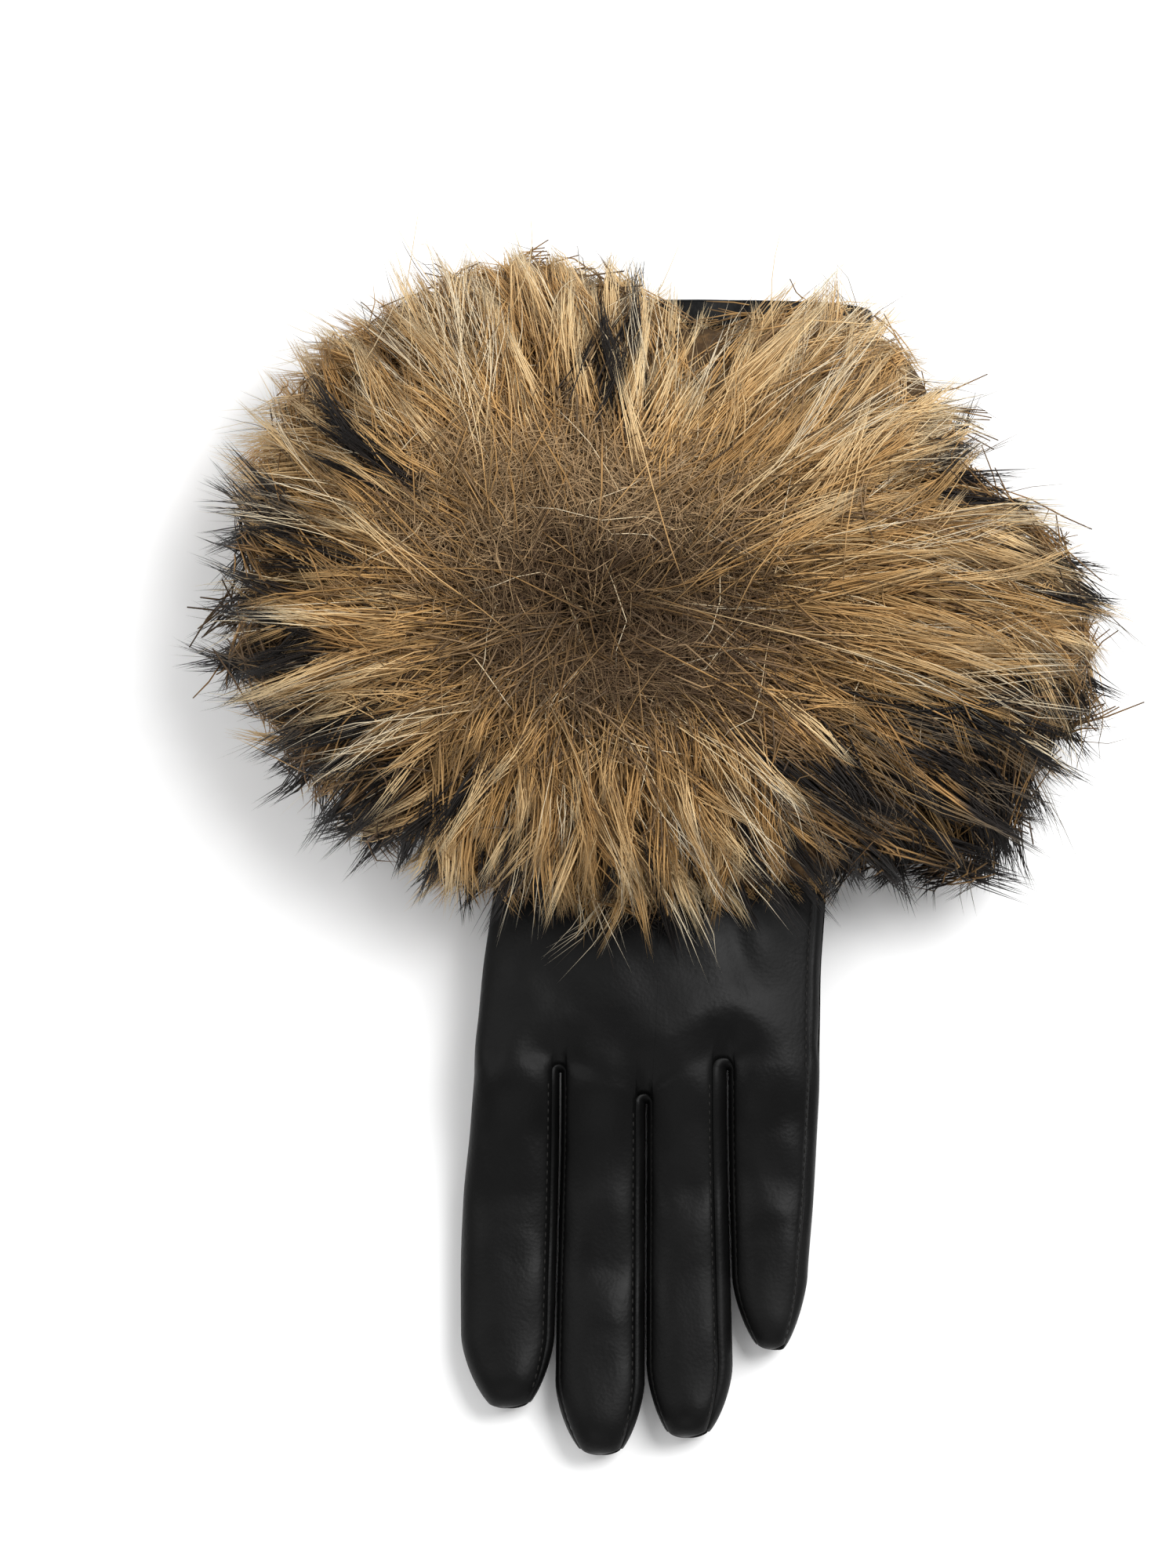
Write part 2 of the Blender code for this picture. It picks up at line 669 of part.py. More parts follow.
def fur_point(turn, along, share):
    """Point of the fur's mound. turn goes round the cuff, along from front to rear, and share
    is how much of the fur's depth is taken."""
    up = np.sin(turn)
    under = ease(-up * UNDER_SPREAD)
    front = blend(FUR_FRONT_TOP, FUR_FRONT_UNDER, ease((1.0 - up) / 2.0))
    rear = BODY_LENGTH - HEM_DEPTH - FUR_GAP
    middle = (front + rear) / 2.0
    y = middle - (rear - front) / 2.0 * np.cos(along)
    left, right = hand_edges(y)
    half_height = hand_half_height(y)
    swell = np.sin(along) ** MOUND_POWER * share
    side = (right - left) / 2.0 + FUR_GAP + FUR_SIDE * swell
    deep = blend(FUR_TOP, UNDER_SWELL * FUR_UNDER, under)
    tall = half_height + FUR_GAP + SEAM_GAP + deep * swell
    x = (left + right) / 2.0 + side * power(np.cos(turn), MOUND_POWER)
    z = lift_at(y) + half_height + tall * power(up, MOUND_POWER)
    return np.stack(np.broadcast_arrays(x, y, np.maximum(z, 0.0)), axis=-1)


def stitch_rings(first, first_turns, second, second_turns):
    """Triangles between two closed rings of unlike counts, walked by their turns."""
    faces = []
    a = 0
    b = 0
    full = 2.0 * math.pi
    while a < len(first) or b < len(second):
        next_a = first_turns[(a + 1) % len(first)] + (full if a + 1 >= len(first) else 0.0)
        next_b = second_turns[(b + 1) % len(second)] + (full if b + 1 >= len(second) else 0.0)
        here_a = first[a % len(first)]
        here_b = second[b % len(second)]
        if b >= len(second) or (a < len(first) and next_a <= next_b):
            faces.append((here_a, first[(a + 1) % len(first)], here_b))
            a += 1
        else:
            faces.append((here_a, second[(b + 1) % len(second)], here_b))
            b += 1
    return faces


def add_lock(points, corners, tip_point, rng):
    """Two tapering steps from a cell to a tuft's blunt tip. Returns the tuft's faces."""
    base = np.array([points[corner] for corner in corners])
    centre = base.mean(axis=0)
    tip_point = np.array([*tip_point[:2], max(tip_point[2], centre[2])])
    side = rng.normal(0.0, LOCK_STRAY, 3) * (1.0, 1.0, ease(centre[2] / FUR_TOP))
    faces = []
    below = corners
    for share, width in LOCK_STEPS:
        here = blend(centre, tip_point, share) + side * share
        ring = here + (base - centre) * width
        above = tuple(range(len(points), len(points) + 4))
        points.extend(ring)
        for corner in range(4):
            following = (corner + 1) % 4
            faces.append((below[corner], below[following], above[following], above[corner]))
        below = above
    faces.append(below)
    return faces


def fur_cuff(material, frame):
    """Fur band: a ring round the cuff whose outer cells are drawn out into locks."""
    rng = np.random.default_rng(FUR_SEED)
    core = 1.0 - LOCK_LENGTH / FUR_SIDE
    turns = np.linspace(-math.pi, math.pi, FUR_SIDES, endpoint=False)
    turns = turns + math.pi / FUR_SIDES
    alongs = np.linspace(FUR_EDGE, 1.0 - FUR_EDGE, FUR_RINGS) * math.pi
    points = []
    outer = []
    for along in alongs:
        outer.append(list(range(len(points), len(points) + FUR_SIDES)))
        points.extend(fur_point(turns, np.full(turns.shape, along), core))
    front = fur_edge(0.0)
    rear = fur_edge(math.pi)
    leather = np.hstack([row_heights(knuckle_row(1, 0.0)[1]),
                         row_heights(knuckle_row(-1, 0.0)[1])[:, ::-1]])
    rows = [row for row in leather if row.min() > FUR_FRONT_UNDER and row.max() < rear[0, 1]]
    lead_in = [blend(front[:, 1], rows[0], share) for share in (0.0, 1.0 / 3.0, 2.0 / 3.0)]
    inner = []
    for y in (*lead_in, *rows, rear[:, 1]):
        inner.append(list(range(len(points), len(points) + len(y))))
        points.extend(cuff_points(y, FUR_GAP))
    faces = []
    for low, high in zip(inner[:-1], inner[1:]):
        faces.extend(ring_faces(low[0], high[0], len(low)))
    for ring, outside in ((inner[0], outer[0]), (inner[-1], outer[-1])):
        faces.extend(stitch_rings(ring[::-1], cuff_turns()[::-1], outside, turns))
    for row in range(FUR_RINGS - 1):
        along = (alongs[row] + alongs[row + 1]) / 2.0
        for column in range(FUR_SIDES):
            following = (column + 1) % FUR_SIDES
            corners = (outer[row][column], outer[row][following],
                       outer[row + 1][following], outer[row + 1][column])
            if np.mean([points[corner][2] for corner in corners]) < FUR_UNDER / 2.0:
                faces.append(corners)
                continue
            turn = turns[column] + (1.0 + rng.uniform(-LOCK_TURN, LOCK_TURN)) * math.pi / FUR_SIDES
            lean = blend(math.pi / 2.0, along, rng.uniform(*LOCK_LEAN))
            length = rng.uniform(*LOCK_REACH)
            tip = fur_point(turn, np.clip(lean, 0.0, math.pi), blend(core, 1.0, length))
            faces.extend(add_lock(points, corners, tip, rng))
    return add_object("fur_cuff", points, faces, material, frame)


def fur_edge(along):
    """Front or rear edge of the fur, where its mound comes down to the leather."""
    turns = cuff_turns()
    return fur_point(turns, np.full(turns.shape, along), 0.0)


def rest_at_origin(frame):
    """Put the middle of the underside at the world's origin."""
    corners = []
    for item in bpy.data.objects:
        if item.type == "MESH" and not item.hide_render:
            corners.extend(vertex.co for vertex in item.data.vertices)
    corners = np.array(corners)
    low = corners.min(axis=0)
    high = corners.max(axis=0)
    frame.location = (-(low[0] + high[0]) / 2.0, -(low[1] + high[1]) / 2.0, -low[2])


def build():
    """Build the glove."""
    clear_scene()
    frame = bpy.data.objects.new("glove_frame", None)
    bpy.context.scene.collection.objects.link(frame)
    back_leather = plain_material("black leather", (0.021, 0.020, 0.020), 0.42)
    strip_leather = plain_material("black strip leather", (0.016, 0.015, 0.015), 0.50)
    panel("back_panel", 1, back_leather, frame)
    palm = panel("palm_panel", -1, back_leather, frame)
    cut_thumb_hole(palm, frame)
    for number in range(len(SLITS)):
        fourchette(number, strip_leather, frame)
    thumb(back_leather, frame)
    cuff_hem(strip_leather, frame)
    fur_cuff(plain_material("golden fur", (0.37, 0.23, 0.11), 0.85), frame)
    rest_at_origin(frame)


build()
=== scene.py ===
"""Dresses the solids of a fur-cuffed leather glove: nappa leather with creases, seams and
stitches, and a deep cuff of long fur. Laid out as a Blender add-on and run as a script.

The glove's own frame has y = 0 at the line of the finger crotches, z = 0 on the table, the
fingertips toward -Y, the opening toward +Y and the little finger toward +X.
"""

import json
import math
from collections import namedtuple

import bmesh
import bpy
import numpy as np
from bpy.props import FloatProperty, FloatVectorProperty, IntProperty, PointerProperty
from bpy.types import Operator, Panel, PropertyGroup
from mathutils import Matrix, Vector


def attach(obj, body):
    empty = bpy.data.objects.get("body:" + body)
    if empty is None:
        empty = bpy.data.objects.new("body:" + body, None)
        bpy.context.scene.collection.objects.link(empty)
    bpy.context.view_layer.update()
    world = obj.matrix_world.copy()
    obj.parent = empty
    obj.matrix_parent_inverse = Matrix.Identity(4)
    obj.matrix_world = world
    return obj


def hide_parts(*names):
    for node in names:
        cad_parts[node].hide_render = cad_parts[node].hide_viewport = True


bl_info = {
    "name": "Fur-cuffed leather glove",
    "version": (1, 0, 0),
    "blender": (4, 5, 0),
    "location": "3D View > Sidebar > Glove",
    "description": "Dresses the glove's solids with leather, seams, stitches and fur",
    "category": "Object",
}

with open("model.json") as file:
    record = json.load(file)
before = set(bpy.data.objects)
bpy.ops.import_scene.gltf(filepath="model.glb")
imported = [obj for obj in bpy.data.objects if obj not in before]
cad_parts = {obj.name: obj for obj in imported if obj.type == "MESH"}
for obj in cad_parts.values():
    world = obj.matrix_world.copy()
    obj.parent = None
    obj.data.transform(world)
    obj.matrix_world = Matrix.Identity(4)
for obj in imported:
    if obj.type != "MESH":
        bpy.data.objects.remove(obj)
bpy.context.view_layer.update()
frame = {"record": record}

MM = 0.001
PHOTO_WIDTH = 1500
PHOTO_HEIGHT = 2000
PHOTO_SCALE = 5.35  # photo pixels to a millimetre
PHOTO_ORIGIN = (835.0, 1400.0)  # pixel where the glove's own origin lies

# Sizes of the glove. Most are the solids' own; slits and tips are drawn finer here.
WALL = 1.2 * MM
SEAM_GAP = 0.3 * MM
SQUARENESS = 2.4
TIP_WIDTH_POWER = 1.5
TIP_HEIGHT_POWER = 2.2
HAND_WIDTH = 83.0 * MM
HAND_THICKNESS = 15.5 * MM
BODY_LENGTH = 187.0 * MM
OPENING_WIDTH = 100.0 * MM
OPENING_THICKNESS = 22.0 * MM
KNUCKLE_RUN = 14.0 * MM
SIDE_SEAM_IN = 2.0 * MM
FOLD_SEAM_IN = 0.6 * MM
FINGER_LENGTH = 86.0 * MM
FINGER_THICKNESS = 13.0 * MM
FINGER_SLIT = 0.4 * MM
TIP_ROUND = 17.0 * MM
TIP_ARC = 1.3 * MM
TIP_FALL = 9.0 * MM
STRIP_SHOWING = 3.2 * MM
STRIP_UNDER = 1.6 * MM
STRIP_HIDDEN = 0.6 * MM
FLOOR_CLEAR = 0.2 * MM
DROOP = 3.5 * MM
DROOP_FADE = (0.35, 0.20)
THUMB_LENGTH = 62.0 * MM
THUMB_WIDTH = 23.0 * MM
THUMB_THICKNESS = 9.6 * MM
THUMB_HOLE_LENGTH = 20.0 * MM
THUMB_HEEL = 69.0 * MM
THUMB_BASE_X = -24.0 * MM
THUMB_TIP_X = -17.0 * MM
THUMB_BEND = 2.0 * MM
THUMB_BLUNT = 0.45
HEM_DEPTH = 6.0 * MM
HEM_WALL = 1.0 * MM
HEM_SWELL = 0.25 * MM
FUR_GAP = 0.6 * MM
FUR_FRONT_TOP = 46.0 * MM
FUR_FRONT_UNDER = 77.0 * MM
FUR_SIDE = 65.0 * MM
FUR_TOP = 47.0 * MM
FUR_UNDER = 8.0 * MM
MOUND_POWER = 0.85
UNDER_SWELL = 1.8
UNDER_SPREAD = 1.6
WRIST_MOUNT = (2.0 * MM, 188.3 * MM, 19.8 * MM)  # the wrist_opening mount, in the glove's frame

OUTLINE = (
    # run,   left,   right
    (-1.00, -0.545, 0.405),
    (-0.70, -0.553, 0.425),
    (-0.50, -0.555, 0.436),
    (-0.30, -0.548, 0.453),
    (-0.12, -0.529, 0.464),
    (0.00, -0.518, 0.470),
    (0.14, -0.494, 0.475),
    (0.27, -0.460, 0.492),
    (0.45, -0.455, 0.490),
    (1.00, -0.455, 0.490),
)
FLARE_START = 0.45
LIE = (
    # run,   lift
    (-1.00, 0.00),
    (-0.55, 0.00),
    (-0.30, 0.14),
    (-0.12, 0.50),
    (0.04, 1.00),
    (0.40, 1.00),
    (1.00, 1.00),
)
CUFF_LIE = (0.38, 0.50)
# Slits between fingers: x at the crotch and at the tips in hand widths, crotch in finger lengths
Slit = namedtuple("Slit", "name x crotch far_x")
SLITS = (
    Slit("index_middle", -0.270, 0.040, -0.288),
    Slit("middle_ring", -0.025, -0.043, -0.028),
    Slit("ring_little", 0.207, 0.048, 0.225),
)

# Fingers: x of the tip in hand widths, reach in finger lengths, blunt the tip's width in shares
# of the finger's, showing how much of its strip turns up into view on its right side
Finger = namedtuple("Finger", "tip_x reach blunt showing")
FINGERS = (
    Finger(-0.415, 0.872, 0.30, 0.42),
    Finger(-0.153, 1.000, 0.31, 0.60),
    Finger(0.092, 0.953, 0.32, 1.00),
    Finger(0.334, 0.712, 0.26, 0.00),
)
# Soft folds: place, and length and breadth, in hand widths, y in body lengths, turn in
# degrees, depth in wall thicknesses. A minus depth is a ridge.
FOLDS = (
    # x,      y,     turn,  long,  broad, depth
    (-0.169, 0.075, -44.0, 0.230, 0.050, 0.95),
    (0.240, 0.176, -72.0, 0.130, 0.042, 0.70),
    (-0.385, 0.130, 80.0, 0.160, 0.070, -0.45),
    (-0.060, 0.170, 20.0, 0.180, 0.090, -0.50),
    (0.280, 0.090, -30.0, 0.140, 0.060, -0.45),
    (-0.420, -0.140, 10.0, 0.080, 0.040, 0.60),
    (-0.150, -0.230, -8.0, 0.080, 0.050, 0.60),
    (0.090, -0.130, 12.0, 0.080, 0.040, 0.55),
    (0.330, -0.110, -15.0, 0.080, 0.050, 0.55),
)

# Finer creases, laid over the folds. A minus y is a share of two finger lengths.
CREASES = (
    # x,      y,     turn,   long,  broad, depth
    (-0.205, 0.042, -27.0, 0.120, 0.020, -0.42),
    (-0.095, 0.006, -24.0, 0.085, 0.018, -0.34),
    (0.160, 0.060, -68.0, 0.060, 0.014, 0.34),
    (0.205, 0.070, -62.0, 0.040, 0.014, -0.24),
    (0.262, 0.044, -38.0, 0.070, 0.020, -0.34),
    (-0.320, 0.070, 62.0, 0.080, 0.024, 0.30),
    (-0.062, 0.330, -66.0, 0.100, 0.020, -0.26),
    (-0.010, 0.325, -70.0, 0.110, 0.022, 0.24),
    (0.090, 0.300, -78.0, 0.120, 0.022, -0.20),
    (-0.400, -0.075, -18.0, 0.080, 0.020, -0.24),
    (-0.430, -0.205, 14.0, 0.090, 0.022, -0.26),
    (-0.360, -0.190, -16.0, 0.060, 0.016, 0.24),
    (-0.385, -0.240, 22.0, 0.060, 0.015, 0.20),
    (-0.180, -0.135, 18.0, 0.060, 0.018, 0.24),
    (-0.110, -0.160, -20.0, 0.070, 0.016, -0.22),
    (-0.160, -0.280, 12.0, 0.070, 0.018, -0.24),
    (-0.130, -0.335, -14.0, 0.055, 0.015, 0.22),
    (0.075, -0.075, 24.0, 0.060, 0.016, -0.20),
    (0.110, -0.190, -12.0, 0.060, 0.016, -0.24),
    (0.100, -0.250, 16.0, 0.070, 0.018, 0.24),
    (0.330, -0.055, 22.0, 0.050, 0.016, 0.22),
    (0.350, -0.170, -14.0, 0.060, 0.018, -0.26),
    (0.300, -0.200, 12.0, 0.050, 0.015, 0.20),
)
RIPPLES = (
    # length,  turn, depth
    (11.0 * MM, 28.0, 0.09 * MM),
    (17.0 * MM, -51.0, 0.15 * MM),
    (27.0 * MM, 74.0, 0.22 * MM),
)

SEAM_DIP = 0.55 * MM  # leather rolls down into a seam by this
SEAM_ROLL = 1.5 * MM  # over about this width
CROTCH_SOFTEN = 4.0 * MM  # run over which a crotch's hollow spreads into the hand
FINGER_SHARE = 0.29  # a finger's width, of the hand's
ROW_CROWDING = 1.5  # power that crowds a finger's rows toward its tip
EDGE_COLUMNS = 5  # columns spread evenly beside each side of a panel
STITCH_PITCH = 2.1 * MM
STITCH_IN = 1.25 * MM  # from a panel's edge to its stitches
STITCH_LONG = 1.35 * MM
STITCH_THICK = 0.22 * MM
STITCHED = 0.93  # share of a finger's rows that its stitches run along
HEM_STITCH_IN = 1.6 * MM  # from the hem's front edge to its stitches

FINGER_COLUMNS = 26
CROTCH_TURNS = 14
FINGER_ROWS = 44
HAND_ROWS = 60
STRIP_COLUMNS = 8
THUMB_SIDES = 72
HEEL_RINGS = 16
THUMB_RINGS = 44

# Outline of the fur seen from above, round its parting. angle in degrees, reach a share of
# the fur's longest reach.
REACH = (
    # angle,  reach
    (-184.0, 0.700),
    (-172.0, 0.656),
    (-156.0, 0.610),
    (-136.0, 0.560),
    (-116.0, 0.510),
    (-90.0, 0.520),
    (-68.0, 0.560),
    (-49.0, 0.625),
    (-36.0, 0.750),
    (-28.0, 0.905),
    (-18.0, 0.910),
    (-9.0, 0.965),
    (0.0, 1.000),
    (13.0, 0.935),
    (24.0, 0.850),
    (33.0, 0.850),
    (46.0, 0.860),
    (54.0, 0.845),
    (61.0, 0.760),
    (67.0, 0.670),
    (74.0, 0.665),
    (82.0, 0.715),
    (92.0, 0.765),
    (106.0, 0.780),
    (118.0, 0.790),
    (132.0, 0.780),
    (146.0, 0.750),
    (160.0, 0.710),
    (176.0, 0.680),
    (188.0, 0.656),
)

# Where tufts end in black, in mm in the photo's plane seen from the camera. amount: share of
# the tufts there.
DARK_TIPS = (
    # x, v, radius, amount
    (-92.5, 130.8, 9.0, 0.8),
    (-100.0, 112.0, 8.0, 0.8),
    (-97.0, 102.0, 9.0, 0.9),
    (-83.0, 82.0, 11.0, 0.9),
    (-62.6, 64.0, 12.0, 0.9),
    (-74.0, 156.0, 9.0, 0.7),
    (48.0, 72.0, 9.0, 0.7),
    (55.0, 64.0, 19.0, 1.4),
    (75.0, 60.0, 20.0, 1.4),
    (66.0, 45.0, 18.0, 1.4),
    (88.0, 70.0, 9.0, 0.8),
    (103.0, 123.0, 9.0, 0.9),
    (104.0, 93.0, 10.0, 0.9),
    (96.0, 81.0, 7.0, 0.8),
    (70.0, 146.0, 8.0, 0.7),
    (-10.3, 178.0, 9.0, 0.8),
    (-25.0, 174.0, 7.0, 0.8),
    (-35.0, 48.0, 9.0, 0.5),
    (2.0, 44.0, 12.0, 0.35),
    (27.0, 47.0, 9.0, 0.4),
)

# Where the hair is browner, the same way. A minus amount is paler.
BROWN_PLACES = (
    # x, v, radius, amount
    (-72.0, 124.0, 24.0, -0.40),
    (-18.0, 162.0, 34.0, -0.85),
    (18.0, 104.0, 16.0, -0.25),
    (34.0, 158.0, 12.0, 0.35),
    (-12.0, 66.0, 22.0, 0.30),
    (22.0, 74.0, 16.0, 0.34),
    (70.0, 108.0, 26.0, 0.55),
)

# Hollows in the mound's surface, in mm
HOLLOWS = (
    # x, y, along x, along y, depth
    (-16.8, 104.0, 20.0, 14.0, 9.0),
    (12.0, 112.0, 22.0, 7.0, 5.0),
    (-42.0, 134.0, 15.0, 9.0, 4.0),
    (18.0, 150.0, 10.0, 10.0, 4.0),
    (-48.0, 100.0, 8.0, 16.0, 3.0),
    (52.0, 86.0, 18.0, 8.0, 3.0),
)

PELT_SIDES = 144
PELT_ROWS = 48
PELT_SHARE = 0.58  # the pelt's swell, of the solid fur's
PELT_CORNERS = ((0.26, 1.0), (0.10, -1.0))  # taken from it at the rear, at the right and left
HAIR_REACH = 0.93  # the mound's reach, of the outline's
HAIR_LIMIT = (204.0 * MM, 82.0 * MM)  # y and z that no hair passes
RIM_FALL = 1.45  # fall of the fur's widest line as it is seen, in radians
RIGHT_SWEEP = 0.13  # turn of the right side's hair toward the fingers, in radians
REAR_BARE = 0.07  # bare run of wool behind the parting, in radians of fall
REAR_SIDE = (1.8, 0.7)  # azimuth of the rear and half its width, in radians
RIGHT_SIDE = (-0.2, 0.6)  # the same of the right side
ROOT_SPREAD = (9.0 * MM, 5.0 * MM, 0.0)  # spread of the tufts' roots about the parting
ROOT_DEPTHS = (4.0 * MM, 15.0 * MM)  # depth of a root at the parting and far from it
ROOT_BARE = (0.14, 0.62)  # a root's least fall, in shares of its tip's
LEAST_RUN = 0.15  # least fall between root and tip, in radians
TUFT_LENGTHS = (0.8, 1.15)  # ranges of chance, in shares of the kind's own values
TUFT_FLARES = (0.2, 1.25)
HAIR_LENGTHS = (0.82, 1.06)
HAIR_FLARES = (0.5, 1.3)
HAIR_DEPTHS = (0.4, 1.2)
TUFT_TURN = 0.14  # spread of a tuft's turn aside, in radians
ROOT_WIDE = 3.6  # spread of a tuft's hairs at their roots, in mm
TIPS_WIDE = (3.4, 0.55)  # at loose and at gathered tips, in mm
SPARE_TUFTS = 8  # tufts drawn for each one wanted, to choose from
SPREAD_POWER = 1.7
TONES = (0.30, 1.05)  # range of the tufts' tones: 0 is the darker ramp, 1 the paler
TONE_SPREAD = 0.16
WOOL_DARKENING = 0.8  # taken from underwool's tone where the tips are to be dark
BLACK_SHARE = 0.25  # share of guard and stray hairs that are black
BLACK_TONE = 0.05
WOOL_THICK = 0.24  # in mm
STRAY_THICK = 0.28
ROOT_SHADE = ((4.0 * MM, 11.0 * MM), 1.5, 0.36)  # start and run of the brown round the parting,
# how much longer it is across, and the share of a hair's shades reached there
HAIR_ENDS = (0.55, 0.45)  # a hair's thickness at its ends, and what its middle has more
TONE_HALF = 0.004  # half width of a hair's strip on its UV map

# Fine wool lying about the parting, on the mound's flat chart in radians: a dark core and a
# paler patch behind it. lying_paths tells of the chart.
PARTING_WOOL = (
    # middle,       spread,       strands, tone
    ((0.04, -0.03), (0.15, 0.11), 3000, 0.10),
    ((-0.10, 0.30), (0.26, 0.11), 2400, 0.98),
)

# Kinds of hair: how many strands in all and in a tuft, the joints along a hair, its thickness
# and length in mm, the range low to high of its tip's fall from the parting in degrees, how far
# the tip stands off the fur in mm, and the wave along it in mm. clump: 1 gathers a tuft's tips.
Kind = namedtuple("Kind", "name strands tuft joints thick length low high flare clump wave")
HAIRS = (
    Kind("underwool", 5200, 20, 4, 0.55, 32.0, 20.0, 124.0, 1.0, 0.35, 1.30),
    Kind("gold_locks", 8700, 20, 5, 0.44, 50.0, 34.0, 122.0, 6.0, 0.90, 0.60),
    Kind("pale_locks", 8700, 20, 5, 0.38, 56.0, 36.0, 118.0, 9.0, 0.95, 0.55),
    Kind("dark_tips", 5800, 20, 5, 0.48, 50.0, 44.0, 120.0, 10.0, 0.95, 0.45),
    Kind("guard_hair", 2600, 10, 6, 0.28, 62.0, 44.0, 112.0, 12.0, 0.60, 1.00),
)


# Ramps of colour, as (place, share of the set colour) or (place, sRGB code)
LEATHER_SHADES = ((0.30, 0.74), (0.55, 1.0), (0.75, 1.5))
THREAD_SHADES = ((0.3, 0.65), (0.7, 1.45))
PAPER_SHADES = ((0.3, "#f6f6f6"), (0.7, "#fafafa"))
PELT_SHADES = ((0.3, "#2e2319"), (0.5, "#4c3b29"), (0.72, "#6f5638"))

FUR_SHADES = {
    # name: darker hairs, paler hairs
    "underwool": (((0.0, "#3a2d20"), (0.5, "#66503a"), (1.0, "#8a6b47")),
                  ((0.0, "#4f4031"), (0.5, "#8a7152"), (1.0, "#b08c5f"))),
    "parting_wool": (((0.0, "#2c2016"), (0.5, "#443222"), (1.0, "#5e4833")),
                     ((0.0, "#7a6349"), (0.5, "#a68863"), (1.0, "#c9ac84"))),
    "gold_locks": (((0.0, "#33261a"), (0.35, "#7a5c38"), (0.7, "#a07a4a"), (1.0, "#8f6a3c")),
                   ((0.0, "#5a4630"), (0.35, "#a8824f"), (0.7, "#cfa66c"), (1.0, "#dcb883"))),
    "pale_locks": (((0.0, "#3d2f20"), (0.4, "#86683f"), (0.75, "#ab8552"), (1.0, "#bd9763")),
                   ((0.0, "#5f4b34"), (0.4, "#c29a64"), (0.75, "#e6c998"), (1.0, "#f3deb6"))),
    "dark_tips": (((0.0, "#3a2b1c"), (0.24, "#7a5e3a"), (0.42, "#1d1917"), (1.0, "#0e0c0c")),
                  ((0.0, "#5a4630"), (0.38, "#b88f5a"), (0.56, "#2a2420"), (1.0, "#171413"))),
    "guard_hair": (((0.0, "#4a3a29"), (0.4, "#8f7146"), (0.75, "#4a3d30"), (1.0, "#1d1a17")),
                   ((0.0, "#7c664a"), (0.4, "#d9bb8a"), (0.75, "#f1e0bf"), (1.0, "#f8ecd4"))),
}
FUR_SHADES["stray_hair"] = FUR_SHADES["guard_hair"]
PORE_PITCH = 0.9 * MM

LIGHTS = (
    # name, share of the key's power, size, place from the table's middle, in metres
    ("key_light", 1.20, 0.75, (0.60, 0.36, 1.08)),
    ("fill_light", 0.32, 0.8, (-0.80, 0.30, 0.95)),
    ("front_light", 0.12, 0.7, (-0.15, -1.0, 0.75)),
)
TABLE_HALF = 3.0
SENSOR_WIDTH = 36.0  # of the camera, in mm
AIM_HEIGHT = 18.0 * MM  # over the table, where the photo's scale holds


def linear_colour(code):
    """Scene-linear red, green and blue of an sRGB hex code."""
    values = np.array([int(code[start:start + 2], 16) for start in (1, 3, 5)]) / 255.0
    linear = np.where(values <= 0.04045, values / 12.92, ((values + 0.055) / 1.055) ** 2.4)
    return tuple(linear.tolist())


def glove_origin():
    """Where the glove's own origin lies in the row frame, read from the record's mount."""
    for mount in frame["record"]["mounts"]:
        if mount["name"] == "wrist_opening":
            return np.array(mount["pos_m"]) - np.array(WRIST_MOUNT)
    raise RuntimeError("the record has no wrist_opening mount")


ORIGIN = glove_origin()


# Shapes shared with the solids


def ease(share):
    """Smooth step from 0 to 1: s squared times (3 - 2 s)."""
    share = np.clip(share, 0.0, 1.0)
    return share * share * (3.0 - 2.0 * share)


def blend(first, second, share):
    """Straight mix of two values."""
    return first + (second - first) * share


def power(value, exponent):
    """Signed power."""
    return np.sign(value) * np.abs(value) ** exponent


def bent(wave):
    """A cosine or sine bent to the superellipse, to the signed power 2 / SQUARENESS."""
    return power(wave, 2.0 / SQUARENESS)


def dome(share):
    """Height of the superellipse over a share of its half width: 1 less the share to the
    power SQUARENESS, and that to the power 1 / SQUARENESS."""
    return (1.0 - share ** SQUARENESS) ** (1.0 / SQUARENESS)


def joined(*parts):
    """Coordinates stretched to one shape and joined into points."""
    return np.stack(np.broadcast_arrays(*parts), axis=-1)


def unit(vectors):
    """Vectors made 1 long."""
    return vectors / np.maximum(np.linalg.norm(vectors, axis=-1, keepdims=True), 1e-9)


def circle(count):
    """Angles spread evenly round a whole turn."""
    return np.linspace(0.0, 2.0 * math.pi, count, endpoint=False)


def around(side, over, turn):
    """Directions at the angles turn, from side toward over."""
    return side[..., None, :] * np.cos(turn)[:, None] + over[..., None, :] * np.sin(turn)[:, None]


def through(rows, column, at):
    """Read a table's column between its rows with a cubic that doesn't overshoot."""
    xs = np.array([row[0] for row in rows])
    ys = np.array([row[column] for row in rows])
    steps = np.diff(xs)
    rises = np.diff(ys) / steps
    slopes = np.zeros_like(ys)
    same_way = rises[:-1] * rises[1:] > 0.0
    mean = 2.0 * rises[:-1] * rises[1:] / np.where(same_way, rises[:-1] + rises[1:], 1.0)
    slopes[1:-1] = np.where(same_way, mean, 0.0)
    at = np.clip(np.asarray(at, dtype=float), xs[0], xs[-1])
    cell = np.clip(np.searchsorted(xs, at) - 1, 0, len(steps) - 1)
    t = (at - xs[cell]) / steps[cell]
    low = (1.0 + 2.0 * t) * (1.0 - t) ** 2 * ys[cell] + t * t * (3.0 - 2.0 * t) * ys[cell + 1]
    turn = t * (1.0 - t) ** 2 * slopes[cell] - t * t * (1.0 - t) * slopes[cell + 1]
    return low + turn * steps[cell]


def run_at(y):
    """Share of the finger length below the crotch line, of the body above it."""
    y = np.asarray(y, dtype=float)
    return np.where(y < 0.0, y / FINGER_LENGTH, y / BODY_LENGTH)


